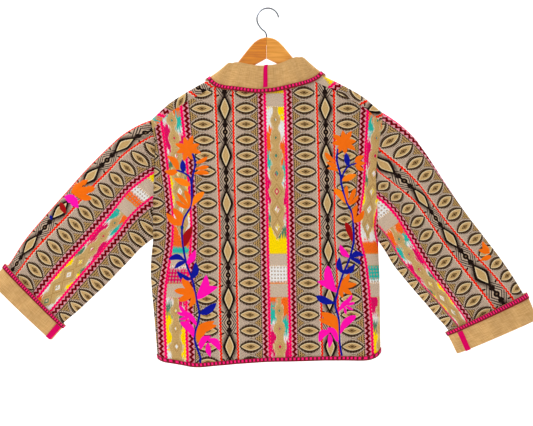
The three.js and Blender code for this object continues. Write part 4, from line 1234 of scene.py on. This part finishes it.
THREADS = {
    "orange": stitched_thread("orange rayon thread", "#ee6a00"),
    "blue": stitched_thread("blue rayon thread", "#000c8e"),
    "magenta": stitched_thread("magenta rayon thread", "#fb00a8"),
    "red": stitched_thread("dark red rayon thread", "#9c0006"),
    "sun": stitched_thread("light orange rayon thread", "#f87c04"),
}
STEMS = {"branch": 4.4, "stem": 5.2}  # widths
# Each vine's stem and branch as x and z, and its sprigs from the flower down: thread, foot x and z, and for
# each petal the way it points in degrees, length, width and bend.
VINE_LEFT = {
    "stem": [
        (-170, -333), (-163, -354), (-168, -382), (-171, -403), (-172, -451), (-189, -484), (-193, -514),
        (-183, -584), (-170, -619), (-159, -669), (-153, -702), (-164, -754), (-151, -798), (-151, -811),
    ],
    "branch": [(-171, -403), (-177, -386), (-190, -377), (-206, -371)],
    "sprigs": [
        # star, and a spray of three beside it
        ("orange", -180, -321, *star(20)),
        ("orange", -166, -355, (24, 34, 11, -3)), ("orange", -166, -369, (10, 35, 11, 0)),
        ("orange", -168, -380, (2, 37, 12, 3)),
        # bud and half flower on the branch
        ("blue", -190, -377, (95, 31, 15, 0)), ("orange", -202, -372, (128, 44, 17, -6), (182, 32, 16, 4)),
        # leaves
        ("sun", -173, -406, (158, 43, 17, 0)),
        ("orange", -174, -459, (152, 38, 11, 3), (131, 47, 11, 0), (107, 44, 13, -3)),
        ("sun", -172, -456, (50, 46, 17, 3)), ("orange", -193, -497, (142, 46, 18, 5), (119, 45, 20, -4)),
        ("red", -189, -547, (67, 52, 20, 3)),
        # blue tulip and wing under a magenta leaf
        ("magenta", -183, -586, (58, 39, 16, -4)), ("blue", -184, -580, (172, 40, 15, -8), (212, 31, 12, -3)),
        ("blue", -172, -621, (76, 41, 17, -5), (150, 38, 15, 5)),
        # magenta tulip and orange hand
        ("magenta", -158, -666, (70, 60, 24, -7), (31, 55, 22, 6)),
        ("orange", -162, -652, (129, 49, 18, 4), (173, 49, 17, 0), (205, 43, 16, 0)),
        ("orange", -164, -652, (250, 35, 15, 3)),
        # blue leaf and magenta hand
        ("blue", -152, -700, (34, 46, 19, -3)), ("magenta", -157, -729, (131, 48, 14, -3)),
        ("magenta", -181, -705, (127, 31, 10, 0)), ("magenta", -180, -706, (158, 26, 9, 0)),
        ("magenta", -178, -708, (192, 23, 9, 0)), ("magenta", -175, -712, (232, 18, 9, 0)),
        # the foot: two curved leaves and a curl
        ("magenta", -162, -758, (131, 54, 20, -7)), ("orange", -156, -767, (54, 64, 25, 12)),
        ("orange", -147, -742, (26, 38, 15, 4)), ("magenta", -151, -781, (52, 40, 20, 9)),
        ("magenta", -136, -757, (-42, 40, 19, 8)), ("magenta", -134, -764, (-80, 35, 14, -2)),
    ],
}
VINE_RIGHT = {
    "stem": [
        (163.5, -322), (161, -347), (169, -382), (171, -402), (184, -446), (195, -469), (198, -501),
        (199, -534), (187, -580), (174, -610), (162, -651), (157, -678), (165, -713), (167, -764),
        (172, -795),
    ],
    "branch": [(171, -396), (176, -378), (188, -362), (206, -355)],
    "sprigs": [
        # star, and a spray of three beside it
        ("orange", 178, -307, *star(6)),
        ("orange", 161, -354, (140, 36, 13, 3)), ("orange", 162, -363, (158, 28, 11, 0)),
        ("orange", 165, -373, (168, 27, 11, -3)),
        # bud and half flower on the branch
        ("blue", 187, -362, (100, 32, 15, 0)),
        ("orange", 203, -356, (42, 28, 14, 3), (2, 24, 12, 0), (-36, 27, 12, -3)),
        # leaves
        ("sun", 172, -395, (23, 37, 16, 0)), ("sun", 181, -448, (128, 44, 16, -3)),
        ("orange", 187, -452, (95, 46, 12, 3), (68, 43, 12, 0), (46, 33, 10, -3)),
        ("orange", 198, -491, (76, 43, 17, 4), (48, 38, 17, -4)), ("red", 196, -536, (109, 49, 15, -2)),
        # blue tulip and wing under a magenta leaf
        ("magenta", 190, -571, (127, 38, 15, 4)), ("blue", 190, -573, (12, 34, 15, 7), (-26, 29, 11, 3)),
        ("blue", 174, -607, (101, 38, 15, 5), (38, 36, 15, -5)),
        # magenta tulip and orange hand
        ("magenta", 161, -650, (110, 65, 23, 7), (152, 52, 20, -6)),
        ("orange", 168, -637, (55, 37, 15, -3), (8, 39, 15, 0), (-34, 34, 14, 0), (-76, 27, 13, -2)),
        # blue leaf and magenta hand
        ("blue", 158, -675, (160, 48, 18, 3)), ("magenta", 163, -696, (45, 44, 13, 3)),
        ("magenta", 180, -679, (54, 28, 9, 0)), ("magenta", 181, -680, (16, 22, 8, 0)),
        ("magenta", 180, -682, (-26, 21, 8, 0)), ("magenta", 177, -683, (-74, 19, 8, 0)),
        # the foot: two curved leaves and a curl
        ("magenta", 167, -747, (49, 58, 20, 7)), ("orange", 165, -760, (122, 76, 26, -14)),
        ("orange", 156, -733, (150, 42, 14, -4)), ("magenta", 163, -764, (128, 42, 20, -9)),
        ("magenta", 147, -738, (224, 38, 19, -8)), ("magenta", 144, -744, (268, 34, 13, 2)),
    ],
}
# The ends of the fronts' sprays that come over the sleeves' upper folds.
SPRAY_LEFT = {
    "sprigs": [
        ("orange", -448, -424, (38, 50, 20, 3), (12, 58, 20, 0)), ("orange", -446, -424, (-16, 48, 18, 0)),
        ("magenta", -466, -430, (-38, 46, 24, 5)), ("red", -474, -444, (-62, 30, 15, 0)),
        ("blue", -497, -474, (-66, 12, 8, 0)),
    ]
}
SPRAY_RIGHT = {
    "sprigs": [
        ("orange", 512, -556, (128, 28, 14, 3)), ("orange", 513, -560, (168, 28, 13, 0)),
        ("orange", 516, -568, (200, 28, 13, 0)),
    ]
}


def embroidered(name, ground, design):
    """Every petal and the stem of one design, joined into one piece of stitching on the cloth."""
    made = []
    for thread, x, z, *shapes in design["sprigs"]:
        made += [(thread, petal(ground, x, z, *shape)) for shape in shapes]
    made += [("blue", stem(ground, design[part], wide)) for part, wide in STEMS.items() if part in design]
    for thread, one in made:
        one.data.materials.append(THREADS[thread])
    bpy.ops.object.select_all(action="DESELECT")
    for thread, one in made:
        one.select_set(True)
    bpy.context.view_layer.objects.active = made[0][1]
    bpy.ops.object.join()
    joined = bpy.context.object
    joined.name = joined.data.name = name
    work_all(joined, bpy.ops.mesh.normals_make_consistent, inside=False)
    bpy.ops.object.shade_smooth()
    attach(joined, "root")
    return joined


vine_left = embroidered("vine_left", back_ground, VINE_LEFT)
vine_right = embroidered("vine_right", back_ground, VINE_RIGHT)
spray_left = embroidered("spray_left", sleeve_ground(-1), SPRAY_LEFT)
spray_right = embroidered("spray_right", sleeve_ground(1), SPRAY_RIGHT)

# ---------------------------------------------------------------- the hanger
# Painted shade and painted light: both arms are one beech, drawn as a darker copy on the left arm and a
# lighter copy on the right, for two arms whose faces turn differently to the light.
HANGER = {
    "hanger_arm_left": varnished_wood("varnished beech, painted shade", "#da8400", "#c26a00"),
    "hanger_arm_right": varnished_wood("varnished beech, painted light", "#e89e3c", "#d68a26"),
    "hanger_hook": plated_wire(),
}
for name, material in HANGER.items():
    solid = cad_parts[name]
    solid.data.materials.clear()
    solid.data.materials.append(material)

# ---------------------------------------------------------------- stage, light and camera
PIXEL = 2.3  # mm of jacket for each pixel of the picture
PICTURE = (533, 426)
HOOK_ROW = 9  # the pixel row of the inside top of the hook
BACKDROP = 14
CAMERA_AWAY = 4.0
SENSOR = 36


def white_paper():
    """White backdrop paper, which is seen from its face alone: from behind, the jacket shows through it."""
    made = new_material("white paper backdrop")
    node(made, "face", "BsdfPrincipled", {"Base Color": linear("#fbfbfb"), "Roughness": 0.95})
    node(made, "far side", "NewGeometry", out="Backfacing")
    node(made, "clear", "BsdfTransparent")
    node(made, "one way", "MixShader", {0: "far side", 1: "face", 2: "clear"})
    node(made, "output", "OutputMaterial", {0: "one way"})
    return made["material"]


paper = white_paper()
for place, turned in (((0, 3, -1.25), (0, 0, 0)), ((0, 1.6, 3), (math.pi / 2, 0, 0))):
    bpy.ops.mesh.primitive_plane_add(size=BACKDROP, location=place, rotation=turned)
    sheet = bpy.context.object
    sheet.data.materials.append(paper)

world = bpy.data.worlds.new("studio")
bpy.context.scene.world = world
world.use_nodes = True
world.node_tree.nodes["Background"].inputs[0].default_value = (1, 1, 1, 1)
world.node_tree.nodes["Background"].inputs[1].default_value = 0.5

JACKET = (0, 0, -0.5)
WALL = (0, 1.6, -0.6)
LIGHTS = [  # place, size, power, what it points at
    ("key", (-1.3, -2.6, 1.2), 1.2, 37, JACKET),
    ("fill", (2.0, -2.6, 0.2), 2.0, 6, JACKET),
    ("wall left", (-1.6, 0.6, 1.6), 2.0, 55, WALL),
    ("wall right", (1.6, 0.6, 1.6), 2.0, 55, WALL),
]
for name, place, size, power, aim in LIGHTS:
    x, y, z = np.array(aim) - place
    turned = (math.atan2(math.hypot(x, y), -z), 0, math.atan2(y, x) - math.pi / 2)
    bpy.ops.object.light_add(type="AREA", location=place, rotation=turned)
    lamp = bpy.context.object
    lamp.name = name
    lamp.data.size = size
    lamp.data.energy = power

eye_level = (HOOK_ROW - PICTURE[1] / 2) * PIXEL / 1000
bpy.ops.object.camera_add(location=(0, -CAMERA_AWAY, eye_level), rotation=(math.pi / 2, 0, 0))
camera = bpy.context.object
camera.data.sensor_width = SENSOR
camera.data.lens = SENSOR * CAMERA_AWAY / (PICTURE[0] * PIXEL / 1000)
bpy.context.scene.camera = camera
bpy.context.scene.view_settings.view_transform = "Standard"  # the dyes keep their full strength
